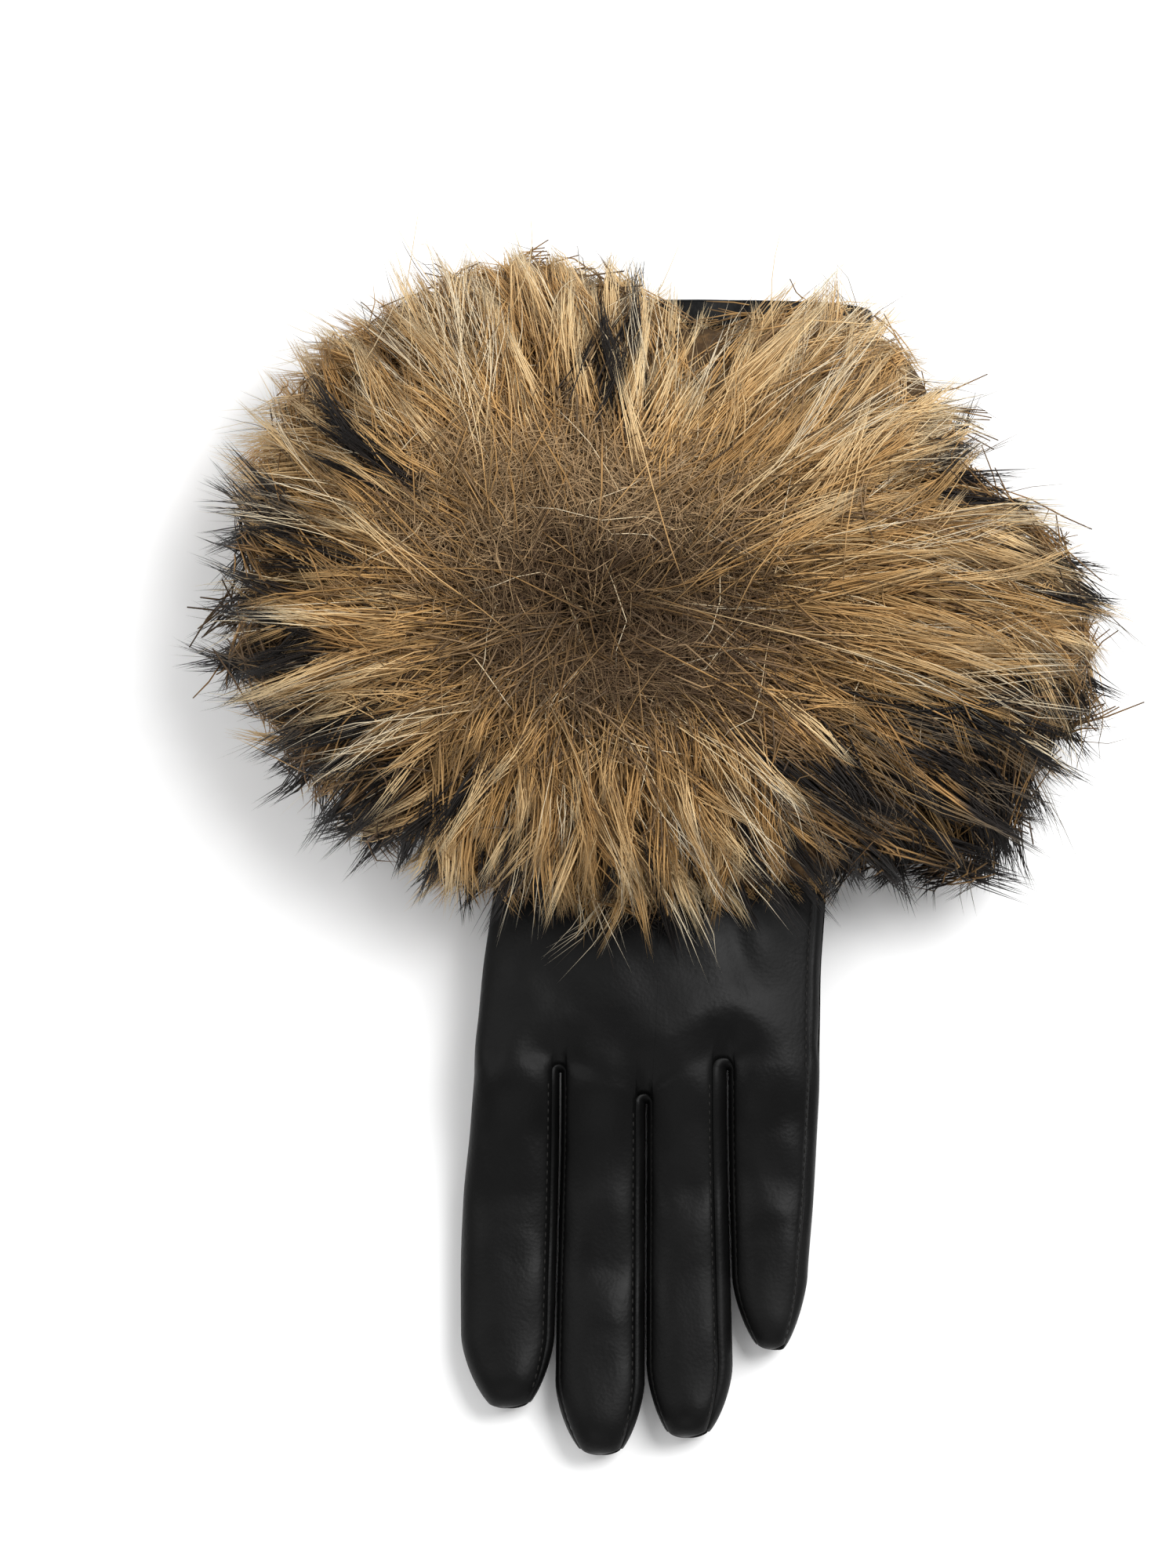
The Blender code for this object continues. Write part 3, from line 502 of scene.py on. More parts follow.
def side_angle(inset, half_width):
    """Angle of a seam that lies inset from the edge: arc cosine of the share left, to half
    the superellipse's power. Minus is past the side line."""
    share = np.clip(1.0 - np.abs(inset) / half_width, 0.0, 1.0)
    return np.sign(inset) * np.arccos(share ** (SQUARENESS / 2.0))


def hand_edges(y):
    """Left and right x of the hand at y: the outline table, eased into the opening's width."""
    run = run_at(y)
    left = through(OUTLINE, 1, run) * HAND_WIDTH
    right = through(OUTLINE, 2, run) * HAND_WIDTH
    middle = (left + right) / 2.0
    flare = ease((run - FLARE_START) / (1.0 - FLARE_START))
    left = blend(left, middle - OPENING_WIDTH / 2.0, flare)
    right = blend(right, middle + OPENING_WIDTH / 2.0, flare)
    return left, right


def hand_span(y):
    """Middle and half width of the hand at y."""
    left, right = hand_edges(y)
    return (left + right) / 2.0, (right - left) / 2.0


def lift_at(y):
    """Height of the underside over the table: the thumb's stack, sinking onto the fur."""
    run = run_at(y)
    over_thumb = THUMB_THICKNESS + 2.0 * SEAM_GAP
    over_fur = FUR_UNDER + FUR_GAP + SEAM_GAP
    lift = FLOOR_CLEAR + SEAM_GAP + (over_thumb - FLOOR_CLEAR) * through(LIE, 1, run)
    sink = ease((run - CUFF_LIE[0]) / (CUFF_LIE[1] - CUFF_LIE[0]))
    return blend(lift, over_fur, sink)


def droop_at(x, y):
    """How far the little-finger side sinks beside the thumb."""
    beside = ease(x / (HAND_WIDTH / 2.0))
    below, above = DROOP_FADE
    along = ease(y / (below * FINGER_LENGTH) + 1.0) * (1.0 - ease(y / (above * BODY_LENGTH) - 1.0))
    return DROOP * beside * along


def dents_at(x, y, table, below):
    """Depth of a table of folds: the sum of turned two-way bell curves. below is the length
    that its minus y are shares of."""
    depth = np.zeros(np.broadcast(x, y).shape)
    for x_share, y_share, turn, long, broad, share in table:
        across = x - x_share * HAND_WIDTH
        along = y - y_share * (below if y_share < 0.0 else BODY_LENGTH)
        cosine = math.cos(math.radians(turn))
        sine = math.sin(math.radians(turn))
        u = (across * cosine + along * sine) / (long * HAND_WIDTH)
        v = (along * cosine - across * sine) / (broad * HAND_WIDTH)
        depth = depth + share * WALL * np.exp(-u * u - v * v)
    return depth


def ripples_at(x, y):
    """Soft unevenness of thin leather: crossed sine waves."""
    depth = np.zeros(np.broadcast(x, y).shape)
    for length, turn, deep in RIPPLES:
        angle = math.radians(turn)
        phase = (x * math.cos(angle) + y * math.sin(angle)) / length
        phase = phase + 0.35 * np.sin(y / (1.7 * length))
        depth = depth + deep * np.sin(2.0 * math.pi * phase)
    return depth


def hand_half_height(y):
    """Half thickness of the hand, growing toward the opening."""
    flare = ease((run_at(y) - FLARE_START) / (1.0 - FLARE_START))
    return blend(HAND_THICKNESS, OPENING_THICKNESS, flare) / 2.0


def place(x, y, middle, up, half_height, face):
    """Join coordinates, sink the far side, folds and creases, and open the seams."""
    upper = np.clip(up / np.maximum(half_height, SEAM_GAP), 0.0, 1.0)
    dents = dents_at(x, y, FOLDS, BODY_LENGTH) + dents_at(x, y, CREASES, FINGER_LENGTH * 2.0)
    dents = dents + ripples_at(x, y)
    z = middle + up - droop_at(x, y) - dents * upper + face * SEAM_GAP / 2.0
    return joined(x, y, z)


def hand_point(angle, y, inset, face):
    """Point of the hand's tube, a superellipse: half width times cosine, and half height
    times sine, both to the power 2 / SQUARENESS."""
    centre, half_width = hand_span(y)
    half_height = hand_half_height(y)
    x = centre + (half_width - inset) * bent(np.cos(angle))
    inner_half = half_height - inset
    up = face * inner_half * bent(np.sin(angle))
    return place(x, y, lift_at(y) + half_height, up, inner_half, face)


def tip_round(share, exponent):
    """Rounding from 0 at the very tip to 1: (1 - (1 - s) to the power e) to the power 1/e."""
    share = np.clip(share, 0.0, 1.0)
    return (1.0 - (1.0 - share) ** exponent) ** (1.0 / exponent)


def slit_x(number, y):
    """Centre line of the slit on the right of finger number."""
    slit = SLITS[number]
    run = ease((slit.crotch * FINGER_LENGTH - y) / FINGER_LENGTH)
    return blend(slit.x, slit.far_x, run) * HAND_WIDTH


def crotch_y(number):
    """Height along the hand of the crotch on the right of finger number."""
    number = min(max(number, 0), len(SLITS) - 1)
    return SLITS[number].crotch * FINGER_LENGTH


def finger_section(number, y, inset):
    """Centre x, half width and half height of a finger at y, and its fullness there."""
    finger = FINGERS[number]
    left, right = hand_edges(y)
    if number > 0:
        left = slit_x(number - 1, y) + FINGER_SLIT / 2.0
    if number < len(SLITS):
        right = slit_x(number, y) - FINGER_SLIT / 2.0
    from_tip = y + finger.reach * FINGER_LENGTH - inset
    fullness = tip_round(from_tip / TIP_ROUND, TIP_WIDTH_POWER)
    centre = blend(finger.tip_x * HAND_WIDTH, (left + right) / 2.0, fullness)
    half_width = ((right - left) / 2.0 - inset) * blend(finger.blunt, 1.0, fullness)
    half_height = FINGER_THICKNESS / 2.0 - inset
    half_height = half_height * tip_round(from_tip / TIP_FALL, TIP_HEIGHT_POWER)
    return centre, half_width, half_height, fullness


def finger_middle_height(y):
    """Height of a finger's middle over the table."""
    return lift_at(y) + FINGER_THICKNESS / 2.0


def seam_angle(number, side, face, y):
    """Angle at which a panel ends on one side of a finger, from the side line up its own face."""
    _, half_width, _, fullness = finger_section(number, y, 0.0)
    if side < 0 and number == 0:
        inset = -face * FOLD_SEAM_IN
    elif side > 0 and number == len(SLITS):
        inset = face * SIDE_SEAM_IN
    elif face < 0:
        inset = STRIP_UNDER
    elif side > 0:
        inset = FINGERS[number].showing * STRIP_SHOWING
    else:
        inset = STRIP_HIDDEN
    return side_angle(inset * fullness, half_width)


def finger_point(number, angle, y, inset, dip, face):
    """Point of a finger's tube, a superellipse as the hand's, drawn in by dip at its seams."""
    centre, half_width, half_height, fullness = finger_section(number, y, inset)
    dip = dip * fullness
    x = centre + (half_width - dip) * bent(np.cos(angle))
    up = face * np.maximum(half_height - dip, 0.0) * bent(np.sin(angle))
    return place(x, y, finger_middle_height(y), up, half_height, face)


def finger_rows(number, base, columns, inset):
    """y of every row of a finger, crowded near the tip, for a wall inset by so much. The last
    rows bow back toward the finger's two sides."""
    steps = np.linspace(0.0, 1.0, FINGER_ROWS + 1)
    shares = (1.0 - (1.0 - steps) ** ROW_CROWDING)[:, None]
    tip = inset - FINGERS[number].reach * FINGER_LENGTH
    bow = TIP_ARC * (2.0 * np.asarray(columns)[None, :] - 1.0) ** 2
    return blend(np.asarray(base)[None, :], tip, shares) + bow * shares ** 12


def finger_columns():
    """Shares across a finger, crowded a little toward both of its seams."""
    even = np.linspace(0.0, 1.0, FINGER_COLUMNS + 1)
    return (even + (1.0 - np.cos(math.pi * even)) / 2.0) / 2.0


def column_ways():
    """Way of each column from a finger's left edge, all fingers taken as equally wide."""
    return finger_columns() * HAND_WIDTH * FINGER_SHARE


def seam_dip(number):
    """How far each column of a finger rolls down into its seams: bell curves of the way
    from each edge. The index finger's outer edge is a fold, with no seam."""
    across = column_ways()
    rolled = np.exp(-(across / SEAM_ROLL) ** 2) * (number > 0)
    return SEAM_DIP * (rolled + np.exp(-((across[-1] - across) / SEAM_ROLL) ** 2))


def finger_block(number, face, inset):
    """Grid of one panel on one finger: rows from the crotch to the tip, columns left to right."""
    columns = finger_columns()
    base = blend(crotch_y(number - 1), crotch_y(number), columns)
    y = finger_rows(number, base, columns, 0.0)
    left = math.pi - seam_angle(number, -1, face, y[:, :1])
    right = seam_angle(number, 1, face, y[:, -1:])
    angle = blend(left, right, columns[None, :])
    y = finger_rows(number, base, columns, inset)
    return finger_point(number, angle, y, inset, seam_dip(number)[None, :], face)


def turn_points(number, left_edge, right_edge):
    """Points round a crotch between two edge points: a half turn about the slit's end."""
    turns = np.linspace(0.0, math.pi, CROTCH_TURNS + 1)[1:-1]
    turns = turns.reshape((-1,) + (1,) * (left_edge.ndim - 1))
    centre_x = slit_x(number, crotch_y(number))
    left_radius = centre_x - left_edge[..., 0]
    right_radius = right_edge[..., 0] - centre_x
    share = turns / math.pi
    radius = np.where(share < 0.5, left_radius, right_radius)
    x = centre_x - radius * np.cos(turns)
    y = crotch_y(number) + blend(left_radius, right_radius, share) * np.sin(turns)
    z = blend(left_edge[..., 2], right_edge[..., 2], share)
    return joined(x, y, z)


def knuckle_row(face, inset):
    """Finger blocks of a panel, its row of points across the knuckles and round the crotches,
    and how much each of those points belongs to a seam."""
    blocks = [finger_block(number, face, inset) for number in range(len(FINGERS))]
    row = []
    seams = []
    for number, block in enumerate(blocks):
        row.append(block[0])
        seams.append(seam_dip(number) / SEAM_DIP)
        if number < len(SLITS):
            row.append(turn_points(number, block[0, -1], blocks[number + 1][0, 0]))
            seams.append(np.ones(CROTCH_TURNS - 1))
    return blocks, np.concatenate(row), np.concatenate(seams)


def column_angles(face):
    """Angle round the hand of each column of a panel, so that it runs straight up the hand."""
    row = knuckle_row(face, 0.0)[1]
    centre, half_width = hand_span(row[:, 1])
    share = (row[:, 0] - centre) / half_width
    angles = np.arccos(power(np.clip(share, -1.0, 1.0), SQUARENESS / 2.0))
    angles[0] = math.pi - side_angle(-face * FOLD_SEAM_IN, HAND_WIDTH / 2.0)
    angles[-1] = side_angle(face * SIDE_SEAM_IN, HAND_WIDTH / 2.0)
    spread = np.linspace(0.0, 1.0, EDGE_COLUMNS)
    angles[:EDGE_COLUMNS] = blend(angles[0], angles[EDGE_COLUMNS - 1], spread)
    angles[-EDGE_COLUMNS:] = blend(angles[-EDGE_COLUMNS], angles[-1], spread)
    return angles


def panel_points(face, inset):
    """All points of a panel: the hand's grid from the knuckle row, then the four fingers."""
    blocks, start, seams = knuckle_row(face, inset)
    shares = np.linspace(0.0, 1.0, HAND_ROWS + 1)[:, None] ** 1.25
    y = blend(start[None, :, 1], BODY_LENGTH, shares)
    past = (y - start[None, :, 1]) / SEAM_ROLL
    side = np.zeros(len(start))
    side[-EDGE_COLUMNS:] = np.exp(-(np.arange(EDGE_COLUMNS - 1, -1, -1) / 2.5) ** 2)
    dip = SEAM_DIP * np.maximum(seams[None, :] * np.exp(-past * past), side[None, :])
    hand = hand_point(column_angles(face)[None, :], y, inset + dip, face)
    knuckle = np.broadcast_to(start[None], hand.shape).copy()
    knuckle[..., 1] = y
    knuckle[..., 2] += lift_at(y) - lift_at(start[None, :, 1])
    lifted = SEAM_DIP * seams[None, :] * (1.0 - np.exp(-past * past))
    knuckle[..., 2] += face * lifted
    offset = knuckle - hand
    apart = (start[:, None, 0] - start[None, :, 0]) / CROTCH_SOFTEN
    weights = np.exp(-apart * apart)
    weights = weights / weights.sum(axis=1, keepdims=True)
    soft = offset[..., 2] @ weights.T
    inside = ease(np.minimum(start[:, 0] - start[0, 0], start[-1, 0] - start[:, 0]) / CROTCH_SOFTEN)
    share = ease((y - start[None, :, 1]) / CROTCH_SOFTEN) * inside[None, :]
    offset[..., 2] = blend(offset[..., 2], soft, share)
    begin = blend(start[None, :, 1], (weights @ start[:, 1])[None, :], share)
    fade = 1.0 - ease((y - begin) / KNUCKLE_RUN)
    return hand + offset * fade[..., None], blocks


def grid_quads(numbers):
    """Quads of a grid of vertex numbers."""
    corners = (numbers[:-1, :-1], numbers[:-1, 1:], numbers[1:, 1:], numbers[1:, :-1])
    return np.stack(corners, axis=-1).reshape(-1, 4)


def ring_grid(rings, sides):
    """Vertex numbers of rings of so many sides each, closed round by repeating the first."""
    numbers = np.arange(rings * sides).reshape(rings, sides)
    return np.hstack([numbers, numbers[:, :1]])


def copies(faces, starts):
    """The same faces over and over, their vertex numbers counted from each start."""
    return (faces[None] + starts[:, None, None]).reshape(-1, faces.shape[1])


def make_piece(name, points, faces, material, uv=None):
    """Put points and faces, in the glove's frame, into one object that rides on the body.
    faces is a list of arrays, each of faces with the same number of corners."""
    mesh = bpy.data.meshes.new(name)
    corners = np.concatenate([part.ravel() for part in faces]).astype(np.int32)
    sizes = np.concatenate([np.full(len(part), part.shape[1]) for part in faces])
    starts = np.concatenate([[0], np.cumsum(sizes)[:-1]]).astype(np.int32)
    mesh.vertices.add(len(points))
    mesh.vertices.foreach_set("co", (points + ORIGIN).astype(np.float32).ravel())
    mesh.loops.add(len(corners))
    mesh.loops.foreach_set("vertex_index", corners)
    mesh.polygons.add(len(sizes))
    mesh.polygons.foreach_set("loop_start", starts)
    mesh.polygons.foreach_set("use_smooth", np.ones(len(sizes), dtype=bool))
    if uv is not None:
        layer = mesh.uv_layers.new(name="OFBake")
        layer.data.foreach_set("uv", uv[corners].astype(np.float32).ravel())
    mesh.update(calc_edges=True)
    mesh.validate()
    mesh.materials.append(material)
    piece = bpy.data.objects.new(name, mesh)
    bpy.context.scene.collection.objects.link(piece)
    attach(piece, "root")
    return piece


def face_outward(piece):
    """Turn all the faces of a closed piece to look outward, and return it."""
    shape = bmesh.new()
    shape.from_mesh(piece.data)
    bmesh.ops.recalc_face_normals(shape, faces=shape.faces)
    shape.to_mesh(piece.data)
    shape.free()
    return piece


def closed_tube(name, rings, material):
    """A piece from rings of points, closed round each ring and from the last to the first."""
    numbers = ring_grid(*rings.shape[:2])
    numbers = np.vstack([numbers, numbers[:1]])
    return face_outward(make_piece(name, rings.reshape(-1, 3), [grid_quads(numbers)], material))


def thick_sheet(name, outer, inner, quads, material):
    """Close two like sheets into one wall, with a rim along every free edge."""
    count = len(outer)
    starts = quads.ravel()
    ends = np.roll(quads, -1, axis=1).ravel()
    free = ~np.isin(starts * count + ends, ends * count + starts)
    starts = starts[free]
    ends = ends[free]
    rim = np.stack([ends, starts, count + starts, count + ends], axis=-1)
    faces = [quads, quads[:, ::-1] + count, rim]
    return face_outward(make_piece(name, np.concatenate([outer, inner]), faces, material))


def panel_piece(name, face, material):
    """One leather panel: the hand and four fingers in one sheet, slit between the fingers."""
    sheets = []
    for inset in (0.0, WALL):
        hand, blocks = panel_points(face, inset)
        parts = [hand.reshape(-1, 3)] + [block[1:].reshape(-1, 3) for block in blocks]
        sheets.append(np.concatenate(parts))
    numbers = np.arange(hand.shape[0] * hand.shape[1]).reshape(hand.shape[:2])
    quads = [grid_quads(numbers)]
    first = numbers.size
    for number in range(len(FINGERS)):
        left = number * (FINGER_COLUMNS + CROTCH_TURNS)
        base = numbers[0, left:left + FINGER_COLUMNS + 1]
        count = FINGER_ROWS * (FINGER_COLUMNS + 1)
        rest = np.arange(first, first + count).reshape(FINGER_ROWS, -1)
        first += count
        quads.append(grid_quads(np.vstack([rest[::-1], base[None]])))
    return thick_sheet(name, sheets[0], sheets[1], np.concatenate(quads), material)


def palm_under(x, y):
    """Height of the palm's underside at a place."""
    centre, half_width = hand_span(y)
    share = np.clip(np.abs(x - centre) / half_width, 0.0, 1.0)
    half_height = hand_half_height(y)
    return lift_at(y) + half_height - half_height * dome(share) - droop_at(x, y) - SEAM_GAP / 2.0


def leather_top(x, y):
    """Height of the glove's back at a place, or of the table beside it."""
    y = np.clip(y, 0.0, BODY_LENGTH)
    centre, half_width = hand_span(y)
    share = np.abs(x - centre) / half_width
    half_height = hand_half_height(y)
    up = half_height * dome(np.clip(share, 0.0, 1.0))
    top = lift_at(y) + half_height + up - droop_at(x, y) + SEAM_GAP
    return np.where(share < 1.0, top, 0.0)


def cut_thumb_hole(palm):
    """Cut the thumb's oval hole through the palm, and keep the cut mesh."""
    turn = circle(THUMB_SIDES)
    x = THUMB_BASE_X + (THUMB_WIDTH / 2.0 - WALL) * np.cos(turn)
    y = THUMB_HEEL - THUMB_HOLE_LENGTH / 2.0 + (THUMB_HOLE_LENGTH / 2.0 - WALL) * np.sin(turn)
    heights = np.array([0.0, THUMB_THICKNESS + HAND_THICKNESS / 2.0])[:, None]
    points = joined(x[None], y[None], heights).reshape(-1, 3)
    walls = grid_quads(ring_grid(2, THUMB_SIDES))
    caps = np.arange(2 * THUMB_SIDES).reshape(2, -1)
    leather = palm.data.materials[0]
    cutter = face_outward(make_piece("thumb_hole_cutter", points, [walls, caps], leather))
    cut = palm.modifiers.new("thumb hole", "BOOLEAN")
    cut.operation = "DIFFERENCE"
    cut.object = cutter
    whole = palm.data
    depsgraph = bpy.context.evaluated_depsgraph_get()
    palm.data = bpy.data.meshes.new_from_object(palm.evaluated_get(depsgraph))
    palm.modifiers.clear()
    bpy.data.meshes.remove(whole)
    bpy.data.objects.remove(cutter, do_unlink=True)


def strip_arm(number, side, inset):
    """Side wall of a finger between its two seams, from the crotch to just short of the tip."""
    crotch = [crotch_y(number if side > 0 else number - 1)]
    seam_y = finger_rows(number, crotch, [1.0], 0.0)[:-1, 0]
    y = finger_rows(number, crotch, [1.0], inset)[:-1, 0]
    centre, half_width, half_height, fullness = finger_section(number, y, inset)
    top = half_height * bent(np.sin(seam_angle(number, side, 1, seam_y)))
    low = -half_height * bent(np.sin(seam_angle(number, side, -1, seam_y)))
    trim = SEAM_GAP / 2.0
    down = np.linspace(0.0, 1.0, STRIP_COLUMNS + 1)
    up = blend((top - trim)[:, None], (low + trim)[:, None], down[None, :])
    fill = np.clip(np.abs(up) / half_height[:, None], 0.0, 1.0)
    dip = SEAM_DIP * fullness[:, None] * np.exp(-(np.minimum(down, 1.0 - down) * 6.0) ** 2)
    out = (half_width[:, None] - dip) * dome(fill)
    up = up * (1.0 - dip / np.maximum(half_height[:, None], SEAM_DIP))
    x = centre[:, None] + side * out
    y = np.broadcast_to(y[:, None], x.shape)
    return place(x, y, finger_middle_height(y), up, half_height[:, None], 0)


def fourchette_piece(number, material):
    """Strip that walls the facing sides of two fingers and turns round at their crotch."""
    sheets = []
    for inset in (0.0, WALL):
        left = strip_arm(number, 1, inset)
        right = strip_arm(number + 1, -1, inset)
        sheets.append(np.concatenate([left[::-1], turn_points(number, left[0], right[0]), right]))
    quads = grid_quads(np.arange(sheets[0].size // 3).reshape(sheets[0].shape[:2]))
    outer = sheets[0].reshape(-1, 3)
    inner = sheets[1].reshape(-1, 3)
    return thick_sheet("side_strip_" + SLITS[number].name, outer, inner, quads, material)


def thumb_rings(inset):
    """Rings of the thumb. The heel's rings fan about the bend, from the hole under the palm
    to upright; the rest run on to the tip, which rounds off as a finger's does."""
    turn = circle(THUMB_SIDES)[None, :]
    across = bent(np.cos(turn))
    along = bent(np.sin(turn))
    tip = THUMB_HEEL - THUMB_LENGTH
    mouth = THUMB_HEEL - THUMB_HOLE_LENGTH
    bend = mouth - THUMB_BEND
    lean = np.linspace(0.0, math.pi / 2.0, HEEL_RINGS)[:, None]
    reach = 1.0 / np.hypot(np.cos(lean) / (THUMB_HEEL - bend), np.sin(lean) / THUMB_THICKNESS)
    near_y = blend(mouth, bend, lean / (math.pi / 2.0))
    span_y = bend + reach * np.cos(lean) - near_y
    span_z = -reach * np.sin(lean)
    size = np.hypot(span_y, span_z) / 2.0
    share = (size - inset) / (2.0 * size)
    y = near_y + span_y / 2.0 - share * along * span_y
    z = THUMB_THICKNESS + span_z / 2.0 - share * along * span_z
    x = THUMB_BASE_X + (THUMB_WIDTH / 2.0 - inset) * across
    heel = joined(x, y, z)
    steps = np.linspace(0.0, 1.0, THUMB_RINGS)[1:, None]
    share = 1.0 - (1.0 - steps) ** 1.7
    y = blend(bend, tip + inset, share)
    from_tip = y - tip - inset
    fullness = tip_round(from_tip / TIP_ROUND, TIP_WIDTH_POWER)
    centre = blend(THUMB_BASE_X, THUMB_TIP_X, ease(share))
    half_width = (THUMB_WIDTH / 2.0 - inset) * blend(THUMB_BLUNT, 1.0, fullness)
    half_height = (THUMB_THICKNESS / 2.0 - inset) * tip_round(from_tip / TIP_FALL, TIP_HEIGHT_POWER)
    half_height = np.maximum(half_height, SEAM_GAP)
    x = centre + half_width * across
    z = THUMB_THICKNESS / 2.0 + half_height * along
    front = joined(x, y, z)
    return np.concatenate([heel, front])


def thumb_piece(material):
    """Thumb tube, closed at the tip, its open end draped against the palm round the hole."""
    sheets = []
    for inset in (0.0, WALL):
        rings = thumb_rings(inset)
        rings[0, :, 2] = palm_under(rings[0, :, 0], rings[0, :, 1]) - SEAM_GAP
        sheets.append(rings.reshape(-1, 3))
    numbers = ring_grid(HEEL_RINGS + THUMB_RINGS - 1, THUMB_SIDES)
    half = THUMB_SIDES // 2
    last = numbers[-1, :-1]
    tip = grid_quads(np.stack([last[:half + 1], np.roll(last, -half)[:half + 1][::-1]]))
    quads = np.concatenate([grid_quads(numbers), tip[1:-1]])
    ends = np.array([[last[0], last[1], last[-1]], [last[half - 1], last[half], last[half + 1]]])
    count = len(sheets[0])
    first = ring_grid(1, THUMB_SIDES)[0]
    rim = np.stack([first[:-1], first[1:], first[1:] + count, first[:-1] + count], axis=-1)
    faces = [quads, quads[:, ::-1] + count, rim, ends, ends[:, ::-1] + count]
    return face_outward(make_piece("thumb_leather", np.concatenate(sheets), faces, material))


def cuff_points(y, outset):
    """Ring round the cuff that follows both panels' own columns."""
    back = column_angles(1)
    palm = column_angles(-1)[::-1]
    upper = hand_point(back, np.full(back.shape, y), -outset, 1)
    lower = hand_point(palm, np.full(palm.shape, y), -outset, -1)
    return np.concatenate([upper, lower])


def hem_piece(material):
    """Folded hem round the opening: a half round fold over the panels' ends, with a soft
    swell toward its free edge on each side."""
    near = BODY_LENGTH - HEM_DEPTH
    end = BODY_LENGTH + SEAM_GAP
    outside = SEAM_GAP
    inside = -WALL - SEAM_GAP
    middle = (outside + inside) / 2.0
    radius = (outside - inside) / 2.0 + HEM_WALL
    turn = np.linspace(math.pi / 2.0, -math.pi / 2.0, 13)
    fold_y = end + HEM_WALL * np.cos(turn)
    fold_out = middle + radius * power(np.sin(turn), 0.8)
    run = np.linspace(0.0, 1.0, 7)[:-1]
    swell = HEM_SWELL * np.sin(math.pi * run)
    runs_y = near + (end - near) * run
    profile = [(y, outside + HEM_WALL + out) for y, out in zip(runs_y, swell)]
    profile += list(zip(fold_y, fold_out))
    profile += [(y, inside - HEM_WALL) for y in runs_y[::-1]]
    profile += [(near, inside), (end, inside), (end, outside), (near, outside)]
    rings = np.array([cuff_points(y, outset) for y, outset in profile])
    return closed_tube("hem_leather", rings, material)


def evenly(path, pitch):
    """Points and directions every pitch along a path, read off its running length."""
    steps = np.linalg.norm(np.diff(path, axis=0), axis=1)
    run = np.concatenate([[0.0], np.cumsum(steps)])
    at = np.arange(pitch / 2.0, run[-1], pitch)
    points, ahead = [joined(*(np.interp(where, run, line) for line in path.T))
                     for where in (at, at + pitch / 4.0)]
    return points, unit(ahead - points)


def stitches(paths):
    """Lock stitches along paths: each a six-sided spindle, a little sunk at its two ends."""
    shares = np.array([-1.0, -0.75, 0.0, 0.75, 1.0])
    widths = np.array([0.25, 0.85, 1.0, 0.85, 0.25]) * STITCH_THICK
    turn = circle(6)
    points = []
    for path, up in paths:
        at, way = evenly(path, STITCH_PITCH)
        side = unit(np.cross(way, up))
        over = np.cross(side, way)
        centre = at[:, None] + way[:, None] * (shares * STITCH_LONG / 2.0)[None, :, None]
        centre = centre - over[:, None] * (shares ** 2 * STITCH_THICK * 0.9)[None, :, None]
        out = around(side[:, None], over[:, None], turn)
        points.append(centre[:, :, None] + out * widths[None, :, None, None])
    points = np.concatenate(points)
    rings = len(shares)
    sides = len(turn)
    starts = np.arange(len(points)) * rings * sides
    ends = np.stack([np.arange(sides)[::-1], np.arange(sides) + (rings - 1) * sides])
    faces = [copies(part, starts) for part in (grid_quads(ring_grid(rings, sides)), ends)]
    return points.reshape(-1, 3), faces


def stitch_paths():
    """Lines of stitches: beside every fourchette seam on both faces, down the outer side
    seam, and along the hem over the back. Each comes with the way that its stitches face."""
    paths = []
    raised = np.array([0.0, 0.0, STITCH_THICK * 0.3])
    near = int(np.searchsorted(column_ways(), STITCH_IN))
    rows = slice(1, int(FINGER_ROWS * STITCHED))
    for face in (1, -1):
        left = max(near - 2, 1) if face > 0 else near
        for number, block in enumerate(knuckle_row(face, 0.0)[0]):
            if number > 0:
                paths.append((block[rows, left] + raised * face, (0.0, 0.0, face)))
            if number < len(SLITS):
                paths.append((block[rows, -1 - near] + raised * face, (0.0, 0.0, face)))
    hand, blocks = panel_points(1, 0.0)
    outer = np.concatenate([blocks[-1][::-1][3:, -3], hand[1:, -EDGE_COLUMNS]])
    paths.append((outer + raised, (0.0, 0.0, 1.0)))
    back = column_angles(1)
    y = np.full(back.shape, BODY_LENGTH - HEM_DEPTH + HEM_STITCH_IN)
    hem = hand_point(back, y, -(HEM_WALL + SEAM_GAP + STITCH_THICK * 0.4), 1)
    paths.append((hem, (0.0, 0.0, 1.0)))
    return paths


# Fur


def wool_base_point(turn, along, share):
    """Mound that the hair grows from, as the fur's solid has it. turn goes round the cuff,
    along from front to rear, and share is how much of the fur's depth is taken."""
    up = np.sin(turn)
    under = ease(-up * UNDER_SPREAD)
    front = blend(FUR_FRONT_TOP, FUR_FRONT_UNDER, ease((1.0 - up) / 2.0))
    rear = BODY_LENGTH - HEM_DEPTH - FUR_GAP
    middle = (front + rear) / 2.0
    y = middle - (rear - front) / 2.0 * np.cos(along)
    centre, half_width = hand_span(y)
    half_height = hand_half_height(y)
    swell = np.sin(along) ** MOUND_POWER * share
    side = half_width + FUR_GAP + FUR_SIDE * swell
    deep = blend(FUR_TOP, UNDER_SWELL * FUR_UNDER, under)
    tall = half_height + FUR_GAP + SEAM_GAP + deep * swell
    x = centre + side * power(np.cos(turn), MOUND_POWER)
    z = lift_at(y) + half_height + tall * power(up, MOUND_POWER)
    return joined(x, y, np.maximum(z, 0.0))


